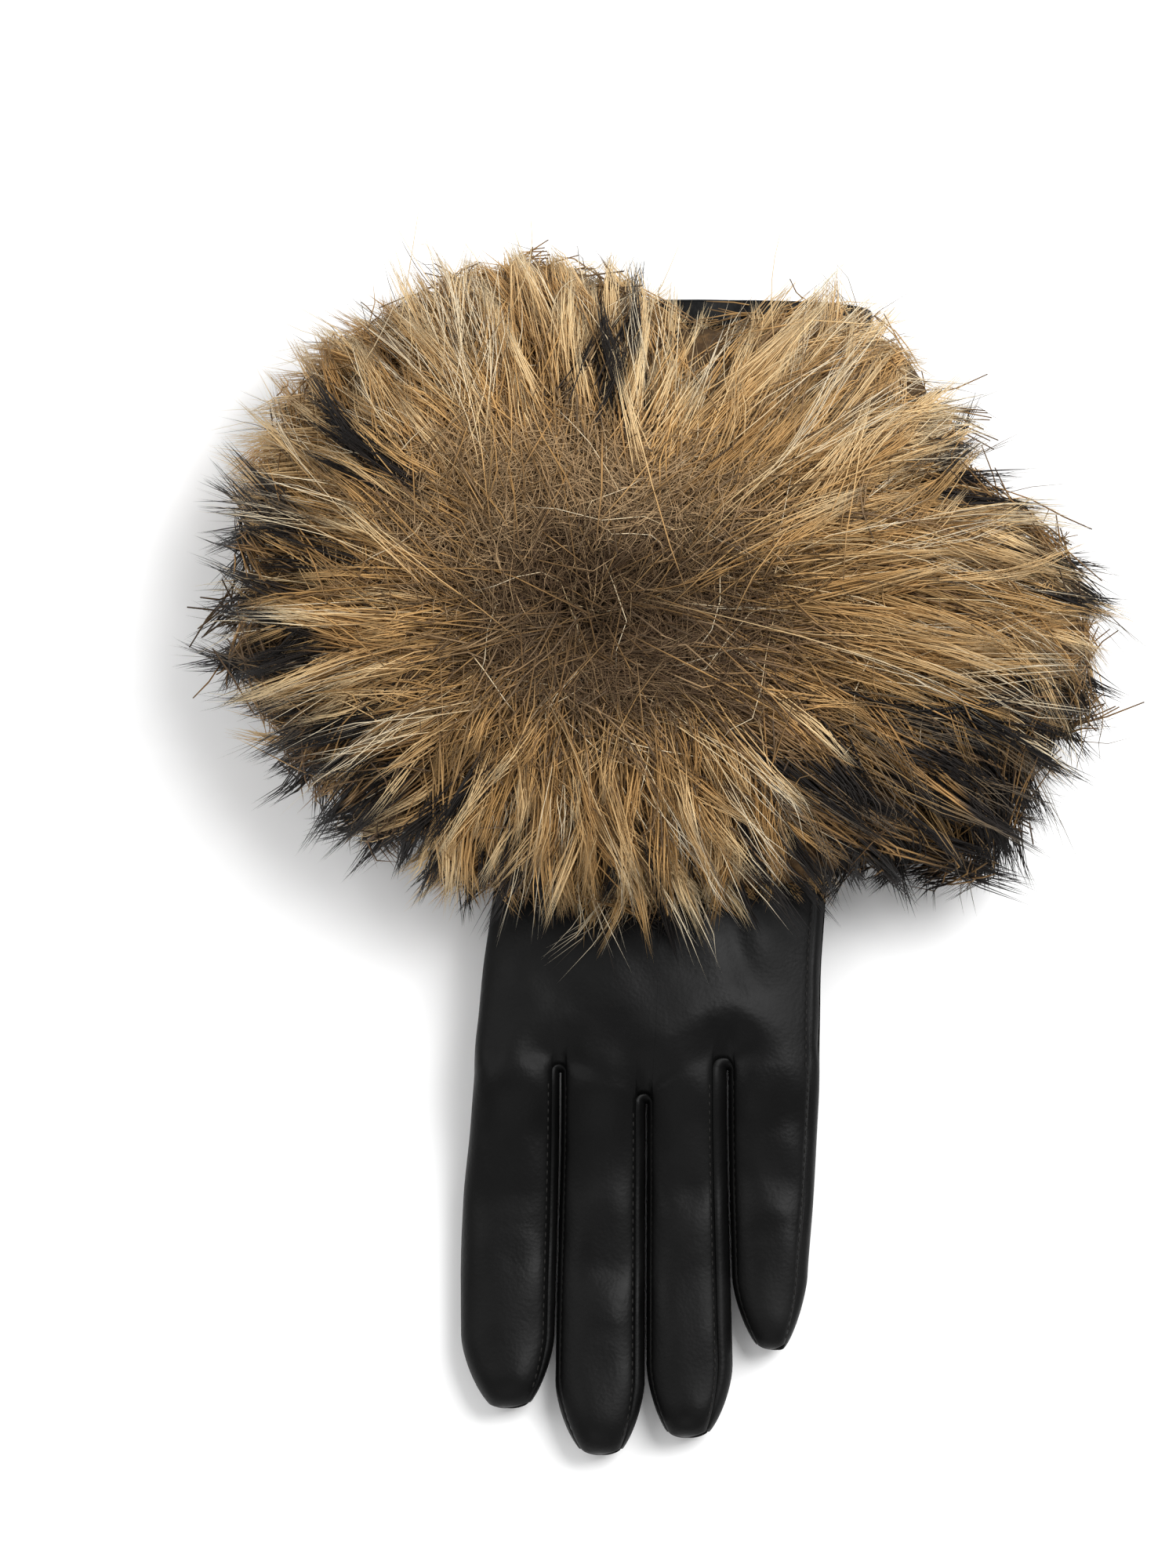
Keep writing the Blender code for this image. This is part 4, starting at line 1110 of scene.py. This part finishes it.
def wool_base_piece(material):
    """Closed ring of dense wool and pelt round the cuff, inside the hair."""
    turn = circle(PELT_SIDES)[None, :]
    along = (np.linspace(0.02, 0.98, PELT_ROWS) * math.pi)[:, None]
    rear = ease(along / math.pi * 2.0 - 0.7)
    right, left = [share * ease(way * np.cos(turn) * 1.6) for share, way in PELT_CORNERS]
    tufts = 0.02 * np.sin(7.0 * turn + 3.0 * along) * np.sin(along)
    share = PELT_SHARE - (right + left) * rear + tufts
    outer = wool_base_point(turn, along, share)
    inner = wool_base_point(turn, along[::-1], 0.0)
    return closed_tube("fur_pelt", np.concatenate([outer, inner]), material)


def mound_point(azimuth, fall, settings):
    """Surface that the outer hairs lie along. azimuth runs round the parting and fall is the
    angle down from it. Seen from above its reach is the outline's reach times sine of fall,
    and its height falls with the cosine from the top to the fur's widest line, then curls
    under to the table. Bell-shaped hollows sink it, the deepest at the parting."""
    reach = through(REACH, 1, np.degrees(azimuth)) * settings.reach * HAIR_REACH
    upper = np.clip(fall, 0.0, math.pi / 2.0)
    curl = np.clip(fall - math.pi / 2.0, 0.0, math.pi / 2.0)
    out = reach * np.sin(upper) ** 0.92 - settings.middle * 0.8 * (1.0 - np.cos(curl))
    height = settings.middle + (settings.top - settings.middle) * np.cos(upper) ** 0.85
    height = height - settings.middle * np.sin(curl)
    x = settings.parting_x + out * np.cos(azimuth)
    y = settings.parting_y + out * np.sin(azimuth)
    for at_x, at_y, wide, deep, depth in np.array(HOLLOWS) * MM:
        height = height - depth * np.exp(-((x - at_x) / wide) ** 2 - ((y - at_y) / deep) ** 2)
    return joined(x, y, height)


def spread_tufts(rng, count, low, high):
    """Azimuth and fall of tufts spread evenly over the mound: azimuth by the reach to the
    power SPREAD_POWER, and the cosine of the fall evenly."""
    grid = np.linspace(-math.pi, math.pi, 721)
    weight = through(REACH, 1, np.degrees(grid)) ** SPREAD_POWER
    total = np.concatenate([[0.0], np.cumsum((weight[1:] + weight[:-1]) / 2.0)])
    azimuth = np.interp(rng.uniform(0.0, total[-1], count), total, grid)
    cosines = np.cos(np.radians([low, high]))
    fall = np.arccos(rng.uniform(cosines[1], cosines[0], count))
    return azimuth, fall


def seen_height(points, settings):
    """Place up the photo of points in the glove's frame."""
    raise_by = math.radians(settings.elevation)
    return points[..., 1] * math.sin(raise_by) + points[..., 2] * math.cos(raise_by)


def amount_at(tips, table, stage):
    """The amount that a table gives at each tip: of all its places, the strongest there."""
    v = seen_height(tips, stage)
    amount = np.zeros(len(tips))
    for x, at_v, radius, most in table:
        away = np.hypot(tips[:, 0] - x * MM, v - at_v * MM) / (radius * MM)
        here = most * (1.0 - ease(away - 0.6))
        amount = np.where(np.abs(here) > np.abs(amount), here, amount)
    return amount


def hair_paths(rng, azimuth, fall, kind, settings):
    """Paths of hairs. Each follows the mound from its root down to its tip, deep at the root
    and standing off at the tip by a power of its run. Hairs of one tuft spread at the root
    and meet at the tip, and part of a sine wave bends each."""
    count = len(azimuth)
    each = kind.strands // count
    total = count * each

    def tufted(values):
        """Give each tuft's value to all its hairs."""
        return np.repeat(values, each, axis=0)[:, None]

    s = np.linspace(0.0, 1.0, kind.joints)[None, :]
    azimuth = tufted(azimuth)
    fall = tufted(fall)
    tuft_length = tufted(rng.uniform(*TUFT_LENGTHS, count))
    tuft_flare = tufted(rng.uniform(*TUFT_FLARES, count) ** 1.6)
    tuft_length = tuft_length * rng.uniform(*HAIR_LENGTHS, (total, 1))
    reach = through(REACH, 1, np.degrees(azimuth)) * settings.reach
    long = kind.length * MM * settings.length * tuft_length
    root_fall = fall - long / reach * (math.pi / 2.0) * 0.95
    bare = rng.uniform(*ROOT_BARE, (total, 1)) * np.minimum(fall, 0.9)
    bare = bare + REAR_BARE * np.exp(-((azimuth - REAR_SIDE[0]) / REAR_SIDE[1]) ** 2)
    root_fall = np.minimum(np.maximum(root_fall, bare), fall - LEAST_RUN)
    here = blend(root_fall, fall + 0.05 * (tuft_length - 1.0), s)
    swirl = tufted(rng.normal(0.0, TUFT_TURN, count)) * (s - 0.5)
    right = np.exp(-((azimuth - RIGHT_SIDE[0]) / RIGHT_SIDE[1]) ** 2)
    path = mound_point(azimuth + swirl + RIGHT_SWEEP * right * (1.0 - s), here, settings)
    shift = tufted(rng.normal(size=(count, 3))) * ROOT_SPREAD
    path = path + shift * ((1.0 - s) ** 1.5)[..., None]
    heart = np.array([settings.parting_x + 0.1 * settings.reach, settings.parting_y,
                      settings.middle * 0.5])
    away = unit(path - heart)
    depth = blend(*ROOT_DEPTHS, ease(root_fall / 0.9)) * rng.uniform(*HAIR_DEPTHS, (total, 1))
    stand = kind.flare * MM * tuft_flare * rng.uniform(*HAIR_FLARES, (total, 1)) * s ** 2.2
    path = path + away * (stand - depth * (1.0 - s) ** 1.2)[..., None]
    wide = rng.normal(size=(total, 1, 3)) * ROOT_WIDE * MM
    narrow = rng.normal(size=(total, 1, 3)) * blend(*TIPS_WIDE, kind.clump) * MM
    path = path + blend(wide, narrow, (s ** 0.6)[..., None])
    bend = rng.normal(size=(total, 1, 3)) * kind.wave * MM
    turn = rng.uniform(0.0, 2.0 * math.pi, (total, 1))
    return path + bend * (np.sin(2.2 * math.pi * s + turn) * (0.3 + s))[..., None]


def rest_on_glove(rng, path):
    """Keep hair above the leather and the table, and short of HAIR_LIMIT, each hair by a
    distance of its own."""
    over = rng.uniform(0.2, 2.2, (len(path), 1)) * MM
    path[..., 1] = np.minimum(path[..., 1], HAIR_LIMIT[0] - 3.0 * over)
    path[..., 2] = np.minimum(path[..., 2], HAIR_LIMIT[1] - 2.0 * over)
    ground = leather_top(path[..., 0], path[..., 1]) + over
    path[..., 2] = np.maximum(path[..., 2], ground)
    return path


def lying_paths(rng, middle, spread, count, joints, run, bend, stray, settings):
    """Hairs that lie loosely over the mound about the parting, straying from straight
    outward. On a flat chart of the mound, fall times the cosine and sine of azimuth, each is
    a straight run bent by part of a sine wave. The chart is then laid on the mound."""
    s = np.linspace(0.0, 1.0, joints)[None, :]
    across = middle[0] + spread[0] * rng.normal(size=(count, 1))
    along = middle[1] + spread[1] * rng.normal(size=(count, 1))
    heading = np.arctan2(along, across) + rng.normal(0.0, stray, (count, 1))
    far = rng.uniform(run[0], run[1], (count, 1)) * s
    aside = bend * rng.normal(size=(count, 1)) * np.sin(math.pi * 1.3 * s)
    across = across + far * np.cos(heading) - aside * np.sin(heading)
    along = along + far * np.sin(heading) + aside * np.cos(heading)
    path = mound_point(np.arctan2(along, across), np.hypot(across, along), settings)
    path[..., 2] += blend(-2.0, rng.uniform(0.3, 3.8, (count, 1)), s ** 0.4) * MM
    return path


def standing_paths(rng, count, joints, settings):
    """Single long hairs that stand up at the rear: straight runs with one slow bend."""
    s = np.linspace(0.0, 1.0, joints)[None, :, None]
    foot = mound_point(rng.uniform(0.9, 2.5, count), rng.uniform(0.6, 1.1, count), settings)
    lean = rng.normal(size=(count, 3)) * (9.0, 4.0, 4.0) * MM
    crown = foot + rng.uniform(0.45, 1.0, (count, 1)) * np.array([0.0, 26.0, 34.0]) * MM + lean
    bend = rng.normal(0.0, 1.5, (count, 1, 3)) * MM
    return blend(foot[:, None], crown[:, None], s) + bend * np.sin(math.pi * s)


def shade_run(path, settings):
    """How far along its shades each joint of each hair is: its share from root to tip, held
    back near the parting so that every hair starts brown there."""
    (start, run), across, held = ROOT_SHADE
    x = (path[..., 0] - settings.parting_x) / across
    y = path[..., 1] - settings.parting_y
    far = ease((np.hypot(x, y) - start) / run)
    return np.linspace(0.0, 1.0, path.shape[1])[None, :] * blend(held, 1.0, far)


def strand_mesh(path, thick, tones, shade):
    """Three-sided tapering hairs along paths of joints. The ring round each joint is set
    across the hair; u is the hair's tone and v is shade, which runs from root to tip."""
    total, joints = path.shape[:2]
    way = unit(np.gradient(path, axis=1))
    side = unit(np.cross(way, np.array([0.15, 0.1, 1.0])))
    over = np.cross(way, side)
    s = np.linspace(0.0, 1.0, joints)
    end, more = HAIR_ENDS
    half = (thick * MM / 2.0) * (end + more * np.sin(math.pi * np.minimum(s + 0.15, 1.0)))
    half = np.broadcast_to(half, (total, joints))
    turn = np.array([0.0, 1.0, 2.0]) * 2.0 * math.pi / 3.0
    out = around(side[:, :-1], over[:, :-1], turn)
    rings = path[:, :-1, None] + out * half[:, :-1, None, None]
    points = np.concatenate([rings.reshape(total, -1, 3), path[:, -1:]], axis=1)
    size = points.shape[1]
    one = grid_quads(ring_grid(joints - 1, 3))
    last = (joints - 2) * 3
    tip = np.array([[last, last + 1, size - 1], [last + 1, last + 2, size - 1],
                    [last + 2, last, size - 1], [0, 2, 1]])
    faces = [copies(part, np.arange(total) * size) for part in (one, tip)]
    u = np.concatenate([np.tile([-TONE_HALF, 0.0, TONE_HALF], joints - 1), [0.0]])
    v = np.concatenate([np.repeat(shade[:, :-1], 3, axis=1), shade[:, -1:]], axis=1)
    uv = joined(tones[:, None] + u[None], 0.01 + 0.98 * v)
    return points.reshape(-1, 3), faces, uv.reshape(-1, 2)


def even_shade(path, first, last):
    """Shades that run evenly from first at every root to last at every tip."""
    return np.linspace(first, last, path.shape[1])[None, :] * np.ones((len(path), 1))


def hair_piece(name, path, thick, tones, shade, tint):
    """One piece of many hairs, in its own kind's shades times a tint."""
    darker, lighter = [hex_stops(stops, tint) for stops in FUR_SHADES[name]]
    material = fur_material("fur_" + name, darker, lighter)
    points, faces, uv = strand_mesh(path, thick, np.clip(tones, 0.02, 0.98), shade)
    piece = make_piece("fur_" + name, points, faces, material, uv)


def tuft_piece(kind, rng, settings, stage):
    """One kind of hair in tufts all over the mound. Where the tips are to be dark, dark_tips
    grow in place of the locks. Underwool and guard hair grow everywhere, darker there."""
    wanted = kind.strands // kind.tuft
    azimuth, fall = spread_tufts(rng, wanted * SPARE_TUFTS, kind.low, kind.high)
    tips = mound_point(azimuth, fall, settings)
    rim = mound_point(azimuth, np.minimum(fall, RIM_FALL), settings)
    dark = np.maximum(*(amount_at(points, DARK_TIPS, stage) for points in (tips, rim)))
    chance = rng.uniform(0.0, 1.0, len(dark))
    keep = chance < dark if kind.name == "dark_tips" else chance > dark
    if kind.name in ("underwool", "guard_hair"):
        keep[:] = True
    azimuth, fall, tips, dark = [part[keep][:wanted] for part in (azimuth, fall, tips, dark)]
    path = rest_on_glove(rng, hair_paths(rng, azimuth, fall, kind, settings))
    tones = rng.uniform(*TONES, len(azimuth)) - amount_at(tips, BROWN_PLACES, stage)
    if kind.name == "underwool":
        tones = tones - WOOL_DARKENING * dark
    each = len(path) // len(azimuth)
    tones = np.repeat(tones, each) + rng.normal(0.0, TONE_SPREAD, len(path))
    if kind.name == "guard_hair":
        share = BLACK_SHARE + (1.0 - BLACK_SHARE) * np.repeat(dark, each)
        tones = np.where(rng.uniform(0.0, 1.0, len(path)) < share, BLACK_TONE, 0.70 + 0.2 * tones)
    hair_piece(kind.name, path, kind.thick, tones, shade_run(path, settings), settings.tint)


def wool_piece(rng, settings):
    """Fine wool lying every way about the parting."""
    paths = [lying_paths(rng, middle, spread, count, 4, (0.08, 0.20), 0.05, 1.2, settings)
             for middle, spread, count, tone in PARTING_WOOL]
    tones = np.concatenate([rng.normal(tone, 0.18, count) for _, _, count, tone in PARTING_WOOL])
    path = rest_on_glove(rng, np.concatenate(paths))
    shade = even_shade(path, 0.0, 1.0)
    hair_piece("parting_wool", path, WOOL_THICK, tones, shade, settings.tint)


def stray_piece(rng, settings):
    """Single long hairs, some lying across the others and some standing up at the rear."""
    lying = lying_paths(rng, (0.0, 0.05), (0.34, 0.28), 90, 7, (0.2, 0.5), 0.06, 3.0, settings)
    standing = standing_paths(rng, 30, 7, settings)
    path = rest_on_glove(rng, np.concatenate([lying, standing]))
    tones = np.where(rng.uniform(0.0, 1.0, len(path)) < BLACK_SHARE, BLACK_TONE, 0.9)
    shade = even_shade(path, 0.3, 0.9)
    hair_piece("stray_hair", path, STRAY_THICK, tones, shade, settings.tint)


# Materials


def add_node(tree, kind, settings=(), values=(), links=(), stops=()):
    """Add a node: settings are its own properties, values its sockets' values, links its
    sockets' sources as (socket, node, output), and stops a ramp's places and colours."""
    node = tree.nodes.new(kind)
    for key, value in settings:
        setattr(node, key, value)
    for key, value in values:
        node.inputs[key].default_value = value
    for key, source, output in links:
        tree.links.new(source.outputs[output], node.inputs[key])
    for number, (place_at, colour) in enumerate(stops):
        elements = node.color_ramp.elements
        element = elements[number] if number < 2 else elements.new(place_at)
        element.position = place_at
        element.color = (*colour, 1.0)
    return node


def hex_stops(stops, tint=(1.0, 1.0, 1.0)):
    """Ramp stops with hex codes turned to linear colours, times a tint."""
    return [(place_at, tuple(np.array(linear_colour(code)) * np.array(tint)))
            for place_at, code in stops]


def shade_stops(stops, colour):
    """Ramp stops given as shares of one colour."""
    return [(place_at, tuple(np.array(colour) * share)) for place_at, share in stops]


def new_material(name, roughness, specular):
    """A material with its shader's plain values set."""
    material = bpy.data.materials.new(name)
    material.use_nodes = True
    shader = material.node_tree.nodes["Principled BSDF"]
    shader.inputs["Roughness"].default_value = roughness
    shader.inputs["Specular IOR Level"].default_value = specular
    return material, material.node_tree, shader


def mottled(name, roughness, specular, noise, stops):
    """A material coloured by a ramp of stops over cloudy noise, in the piece's own metres.
    Returns it with its tree, its shader, the coordinates and the noise."""
    material, tree, shader = new_material(name, roughness, specular)
    place_on = add_node(tree, "ShaderNodeTexCoord")
    cloud = add_node(tree, "ShaderNodeTexNoise", values=noise,
                     links=(("Vector", place_on, "Object"),))
    tone = add_node(tree, "ShaderNodeValToRGB", links=(("Fac", cloud, "Fac"),), stops=stops)
    tree.links.new(tone.outputs["Color"], shader.inputs["Base Color"])
    return material, tree, shader, place_on, cloud


def nappa_leather(name, settings, colour):
    """Dyed nappa, a smooth tanned lambskin: near black, a fine pebble of pores about 0.5 mm
    apart (drawn 0.9 mm so that it shows) and a soft low sheen where it is stretched."""
    material, tree, shader, place_on, cloud = mottled(
        name, 0.45, 0.11, (("Scale", 55.0), ("Detail", 4.0), ("Roughness", 0.55)),
        shade_stops(LEATHER_SHADES, colour))
    gloss = add_node(tree, "ShaderNodeMapRange", links=(("Value", cloud, "Fac"),),
                     values=(("From Min", 0.3), ("From Max", 0.7),
                             ("To Min", 0.36), ("To Max", 0.54)))
    tree.links.new(gloss.outputs["Result"], shader.inputs["Roughness"])
    pores = add_node(tree, "ShaderNodeTexVoronoi", settings=(("feature", "SMOOTH_F1"),),
                     values=(("Scale", 1.0 / PORE_PITCH), ("Smoothness", 0.6)),
                     links=(("Vector", place_on, "Object"),))
    wrinkles = add_node(tree, "ShaderNodeTexNoise",
                        values=(("Scale", 420.0), ("Detail", 5.0), ("Roughness", 0.6)),
                        links=(("Vector", place_on, "Object"),))
    grain = add_node(tree, "ShaderNodeMath", settings=(("operation", "MULTIPLY_ADD"),),
                     values=((1, 0.45),),
                     links=((0, pores, "Distance"), (2, wrinkles, "Fac")))
    bump = add_node(tree, "ShaderNodeBump", links=(("Height", grain, "Value"),),
                    values=(("Strength", settings.grain), ("Distance", 0.12 * MM)))
    tree.links.new(bump.outputs["Normal"], shader.inputs["Normal"])
    return material


def thread_material(colour):
    """Black polyester thread: a faint twist and a duller, greyer black than the leather."""
    return mottled("polyester_thread", 0.7, 0.15, (("Scale", 1800.0), ("Detail", 2.0)),
                   shade_stops(THREAD_SHADES, colour))[0]


def fur_material(name, dark, light):
    """Raccoon-dog fur: each hair goes from a brown root to its own tip colour, darker or
    paler by the hair's tone. Matt with a slight gloss along the hair."""
    material, tree, shader = new_material(name, 0.62, 0.22)
    where = add_node(tree, "ShaderNodeUVMap", settings=(("uv_map", "OFBake"),))
    split = add_node(tree, "ShaderNodeSeparateXYZ", links=(("Vector", where, "UV"),))
    darker, lighter = [add_node(tree, "ShaderNodeValToRGB", links=(("Fac", split, "Y"),),
                                stops=stops) for stops in (dark, light)]
    mixed = add_node(tree, "ShaderNodeMix", settings=(("data_type", "RGBA"),),
                     links=((0, split, "X"), (6, darker, "Color"), (7, lighter, "Color")))
    tree.links.new(mixed.outputs[2], shader.inputs["Base Color"])
    return material


def pelt_material(tint):
    """Dense underwool and pelt, seen between the hairs as a soft dark brown."""
    material, tree, shader, _, wool = mottled(
        "fur_pelt_wool", 0.95, 0.1, (("Scale", 160.0), ("Detail", 6.0), ("Roughness", 0.7)),
        hex_stops(PELT_SHADES, tint))
    bump = add_node(tree, "ShaderNodeBump", values=(("Strength", 0.8), ("Distance", 2.0 * MM)),
                    links=(("Height", wool, "Fac"),))
    tree.links.new(bump.outputs["Normal"], shader.inputs["Normal"])
    return material


def floor_material():
    """Matt white paper sweep."""
    return mottled("paper_sweep", 0.9, 0.1, (("Scale", 30.0), ("Detail", 3.0)),
                   hex_stops(PAPER_SHADES))[0]


# Add-on


def length_setting(name, description, size):
    """A length that the user can change, given in mm."""
    return FloatProperty(name=name, description=description, default=size * MM, unit="LENGTH")


def colour_setting(name, description, code):
    """A colour that the user can change."""
    return FloatVectorProperty(name=name, description=description, default=linear_colour(code),
                               subtype="COLOR")


class GloveLeatherSettings(PropertyGroup):
    """Colours and grain of the leather."""

    colour: colour_setting("Leather", "Colour of the panels and the thumb", "#0a0a0a")
    # Set darker than the panels' colour as painted shade in the valleys between the fingers; the
    # hem shares it
    strips: colour_setting("Strips", "Colour of the strips between fingers and the hem", "#080808")
    thread: colour_setting("Thread", "Colour of the stitches", "#191817")
    grain: FloatProperty(name="Grain", description="Depth of the leather's pores", default=0.65,
                         min=0.0, max=1.0, subtype="FACTOR")


class GloveFurSettings(PropertyGroup):
    """Sizes and colour of the fur."""

    reach: length_setting("Reach", "Longest reach of the fur from its parting", 127.0)
    top: length_setting("Top", "Height of the fur at its parting", 66.0)
    middle: length_setting("Middle", "Height of the fur's widest line", 22.0)
    parting_x: length_setting("Parting x", "Where the hairs part, across", -16.8)
    parting_y: length_setting("Parting y", "Where the hairs part, along", 104.0)
    length: FloatProperty(name="Length", description="Scale of the hairs' length", default=1.0,
                          subtype="FACTOR")
    tint: colour_setting("Tint", "Colour that every hair's shades are multiplied by", "#ffffff")
    seed: IntProperty(name="Seed", description="Seed of the hairs' spread", default=11)


class GloveStageSettings(PropertyGroup):
    """Camera and light."""

    elevation: FloatProperty(name="Elevation", description="Camera angle above the table, in "
                             "degrees", default=80.0)
    lens: FloatProperty(name="Lens", description="Focal length", default=150.0, unit="CAMERA")
    sky: FloatProperty(name="Sky", description="Strength of the even light", default=0.52)
    key: FloatProperty(name="Key", description="Power of the soft overhead light", default=15.0,
                       unit="POWER")
    sky_colour: colour_setting("Sky colour", "Colour of the even light", "#ffffff")


class GLOVE_OT_panels(Operator):
    """Make the back and palm panels."""

    bl_idname = "glove.panels"
    bl_label = "Leather panels"

    def execute(self, context):
        settings = context.scene.glove_leather
        leather = nappa_leather("nappa_leather", settings, settings.colour)
        back = panel_piece("back_leather", 1, leather)
        palm = panel_piece("palm_leather", -1, leather)
        cut_thumb_hole(palm)
        thumb = thumb_piece(leather)
        for piece, node in ((back, "back_panel"), (palm, "palm_panel"), (thumb, "thumb")):
            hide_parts(node)
        return {"FINISHED"}


class GLOVE_OT_strips(Operator):
    """Make the side strips between the fingers, and the hem."""

    bl_idname = "glove.strips"
    bl_label = "Side strips and hem"

    def execute(self, context):
        settings = context.scene.glove_leather
        # The strips and the hem take the darker strips colour: painted shade for the valleys
        # between the fingers
        leather = nappa_leather("strip_nappa_painted_shade", settings, settings.strips)
        for number in range(len(SLITS)):
            strip = fourchette_piece(number, leather)
            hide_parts("fourchette_" + SLITS[number].name)
        hem = hem_piece(leather)
        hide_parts("cuff_hem")
        return {"FINISHED"}


class GLOVE_OT_stitches(Operator):
    """Make the stitches along the seams."""

    bl_idname = "glove.stitches"
    bl_label = "Stitches"

    def execute(self, context):
        points, faces = stitches(stitch_paths())
        thread = thread_material(context.scene.glove_leather.thread)
        piece = make_piece("seam_stitches", points, faces, thread)
        return {"FINISHED"}


class GLOVE_OT_pelt(Operator):
    """Make the dense wool inside the fur."""

    bl_idname = "glove.pelt"
    bl_label = "Fur pelt"

    def execute(self, context):
        pelt = wool_base_piece(pelt_material(context.scene.glove_fur.tint))
        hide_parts("fur_cuff")
        return {"FINISHED"}


class GLOVE_OT_hair(Operator):
    """Make the hairs of the fur."""

    bl_idname = "glove.hair"
    bl_label = "Fur hair"

    def execute(self, context):
        settings = context.scene.glove_fur
        for number, kind in enumerate(HAIRS):
            rng = np.random.default_rng(settings.seed + number)
            tuft_piece(kind, rng, settings, context.scene.glove_stage)
        rng = np.random.default_rng(settings.seed + len(HAIRS))
        wool_piece(rng, settings)
        stray_piece(rng, settings)
        return {"FINISHED"}


class GLOVE_OT_stage(Operator):
    """Make the table, the lights and the camera."""

    bl_idname = "glove.stage"
    bl_label = "Stage"

    def execute(self, context):
        settings = context.scene.glove_stage
        scene = context.scene
        mesh = bpy.data.meshes.new("table")
        corners = ((-1.0, -1.0), (1.0, -1.0), (1.0, 1.0), (-1.0, 1.0))
        mesh.from_pydata([(x * TABLE_HALF, y * TABLE_HALF, 0.0) for x, y in corners], [],
                         [(0, 1, 2, 3)])
        mesh.materials.append(floor_material())
        table = bpy.data.objects.new("table", mesh)
        scene.collection.objects.link(table)
        world = bpy.data.worlds.new("even_light")
        scene.world = world
        world.use_nodes = True
        sky = world.node_tree.nodes["Background"]
        sky.inputs["Color"].default_value = (*settings.sky_colour, 1.0)
        sky.inputs["Strength"].default_value = settings.sky
        for name, power_share, size, place_at in LIGHTS:
            lamp = bpy.data.lights.new(name, "AREA")
            lamp.energy = settings.key * power_share
            lamp.size = size
            light = bpy.data.objects.new(name, lamp)
            light.location = place_at
            light.rotation_euler = Vector(place_at).to_track_quat("Z", "Y").to_euler()
            scene.collection.objects.link(light)
        camera_data = bpy.data.cameras.new("camera")
        camera_data.lens = settings.lens
        camera_data.sensor_width = SENSOR_WIDTH
        camera_data.dof.use_dof = False
        camera = bpy.data.objects.new("camera", camera_data)
        shown = PHOTO_HEIGHT / PHOTO_SCALE * MM
        distance = shown * settings.lens / SENSOR_WIDTH
        angle = math.radians(settings.elevation)
        centre_x = (PHOTO_WIDTH / 2.0 - PHOTO_ORIGIN[0]) / PHOTO_SCALE * MM
        centre_v = (PHOTO_ORIGIN[1] - PHOTO_HEIGHT / 2.0) / PHOTO_SCALE * MM
        centre_y = (centre_v - AIM_HEIGHT * math.cos(angle)) / math.sin(angle)
        target = Vector((centre_x, centre_y, AIM_HEIGHT)) + Vector(ORIGIN)
        back = Vector((0.0, -math.cos(angle), math.sin(angle)))
        camera.location = target + back * distance
        camera.rotation_euler = back.to_track_quat("Z", "Y").to_euler()
        camera_data.clip_start = 0.05
        camera_data.clip_end = 20.0
        scene.collection.objects.link(camera)
        scene.camera = camera
        scene.view_settings.view_transform = "Standard"
        return {"FINISHED"}


class GLOVE_PT_panel(Panel):
    """Lists the glove's pieces and sizes."""

    bl_idname = "GLOVE_PT_panel"
    bl_label = "Fur-cuffed glove"
    bl_space_type = "VIEW_3D"
    bl_region_type = "UI"
    bl_category = "Glove"

    def draw(self, context):
        for name in ("glove_leather", "glove_fur", "glove_stage"):
            settings = getattr(context.scene, name)
            for key in settings.__annotations__:
                self.layout.prop(settings, key)
        for maker in OPERATORS:
            self.layout.operator(maker.bl_idname)


SETTINGS = (
    ("glove_leather", GloveLeatherSettings),
    ("glove_fur", GloveFurSettings),
    ("glove_stage", GloveStageSettings),
)
OPERATORS = (GLOVE_OT_stage, GLOVE_OT_panels, GLOVE_OT_strips, GLOVE_OT_stitches, GLOVE_OT_pelt,
             GLOVE_OT_hair)


def register():
    """Register the classes and the scene's settings."""
    for name, group in SETTINGS:
        bpy.utils.register_class(group)
        setattr(bpy.types.Scene, name, PointerProperty(type=group))
    for maker in (*OPERATORS, GLOVE_PT_panel):
        bpy.utils.register_class(maker)


def unregister():
    """Take the classes and the scene's settings away again."""
    for maker in (GLOVE_PT_panel, *reversed(OPERATORS)):
        bpy.utils.unregister_class(maker)
    for name, group in reversed(SETTINGS):
        delattr(bpy.types.Scene, name)
        bpy.utils.unregister_class(group)


def main():
    """Register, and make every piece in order."""
    register()
    bpy.ops.glove.stage()
    bpy.ops.glove.panels()
    bpy.ops.glove.strips()
    bpy.ops.glove.stitches()
    bpy.ops.glove.pelt()
    bpy.ops.glove.hair()


if __name__ == "__main__":
    main()
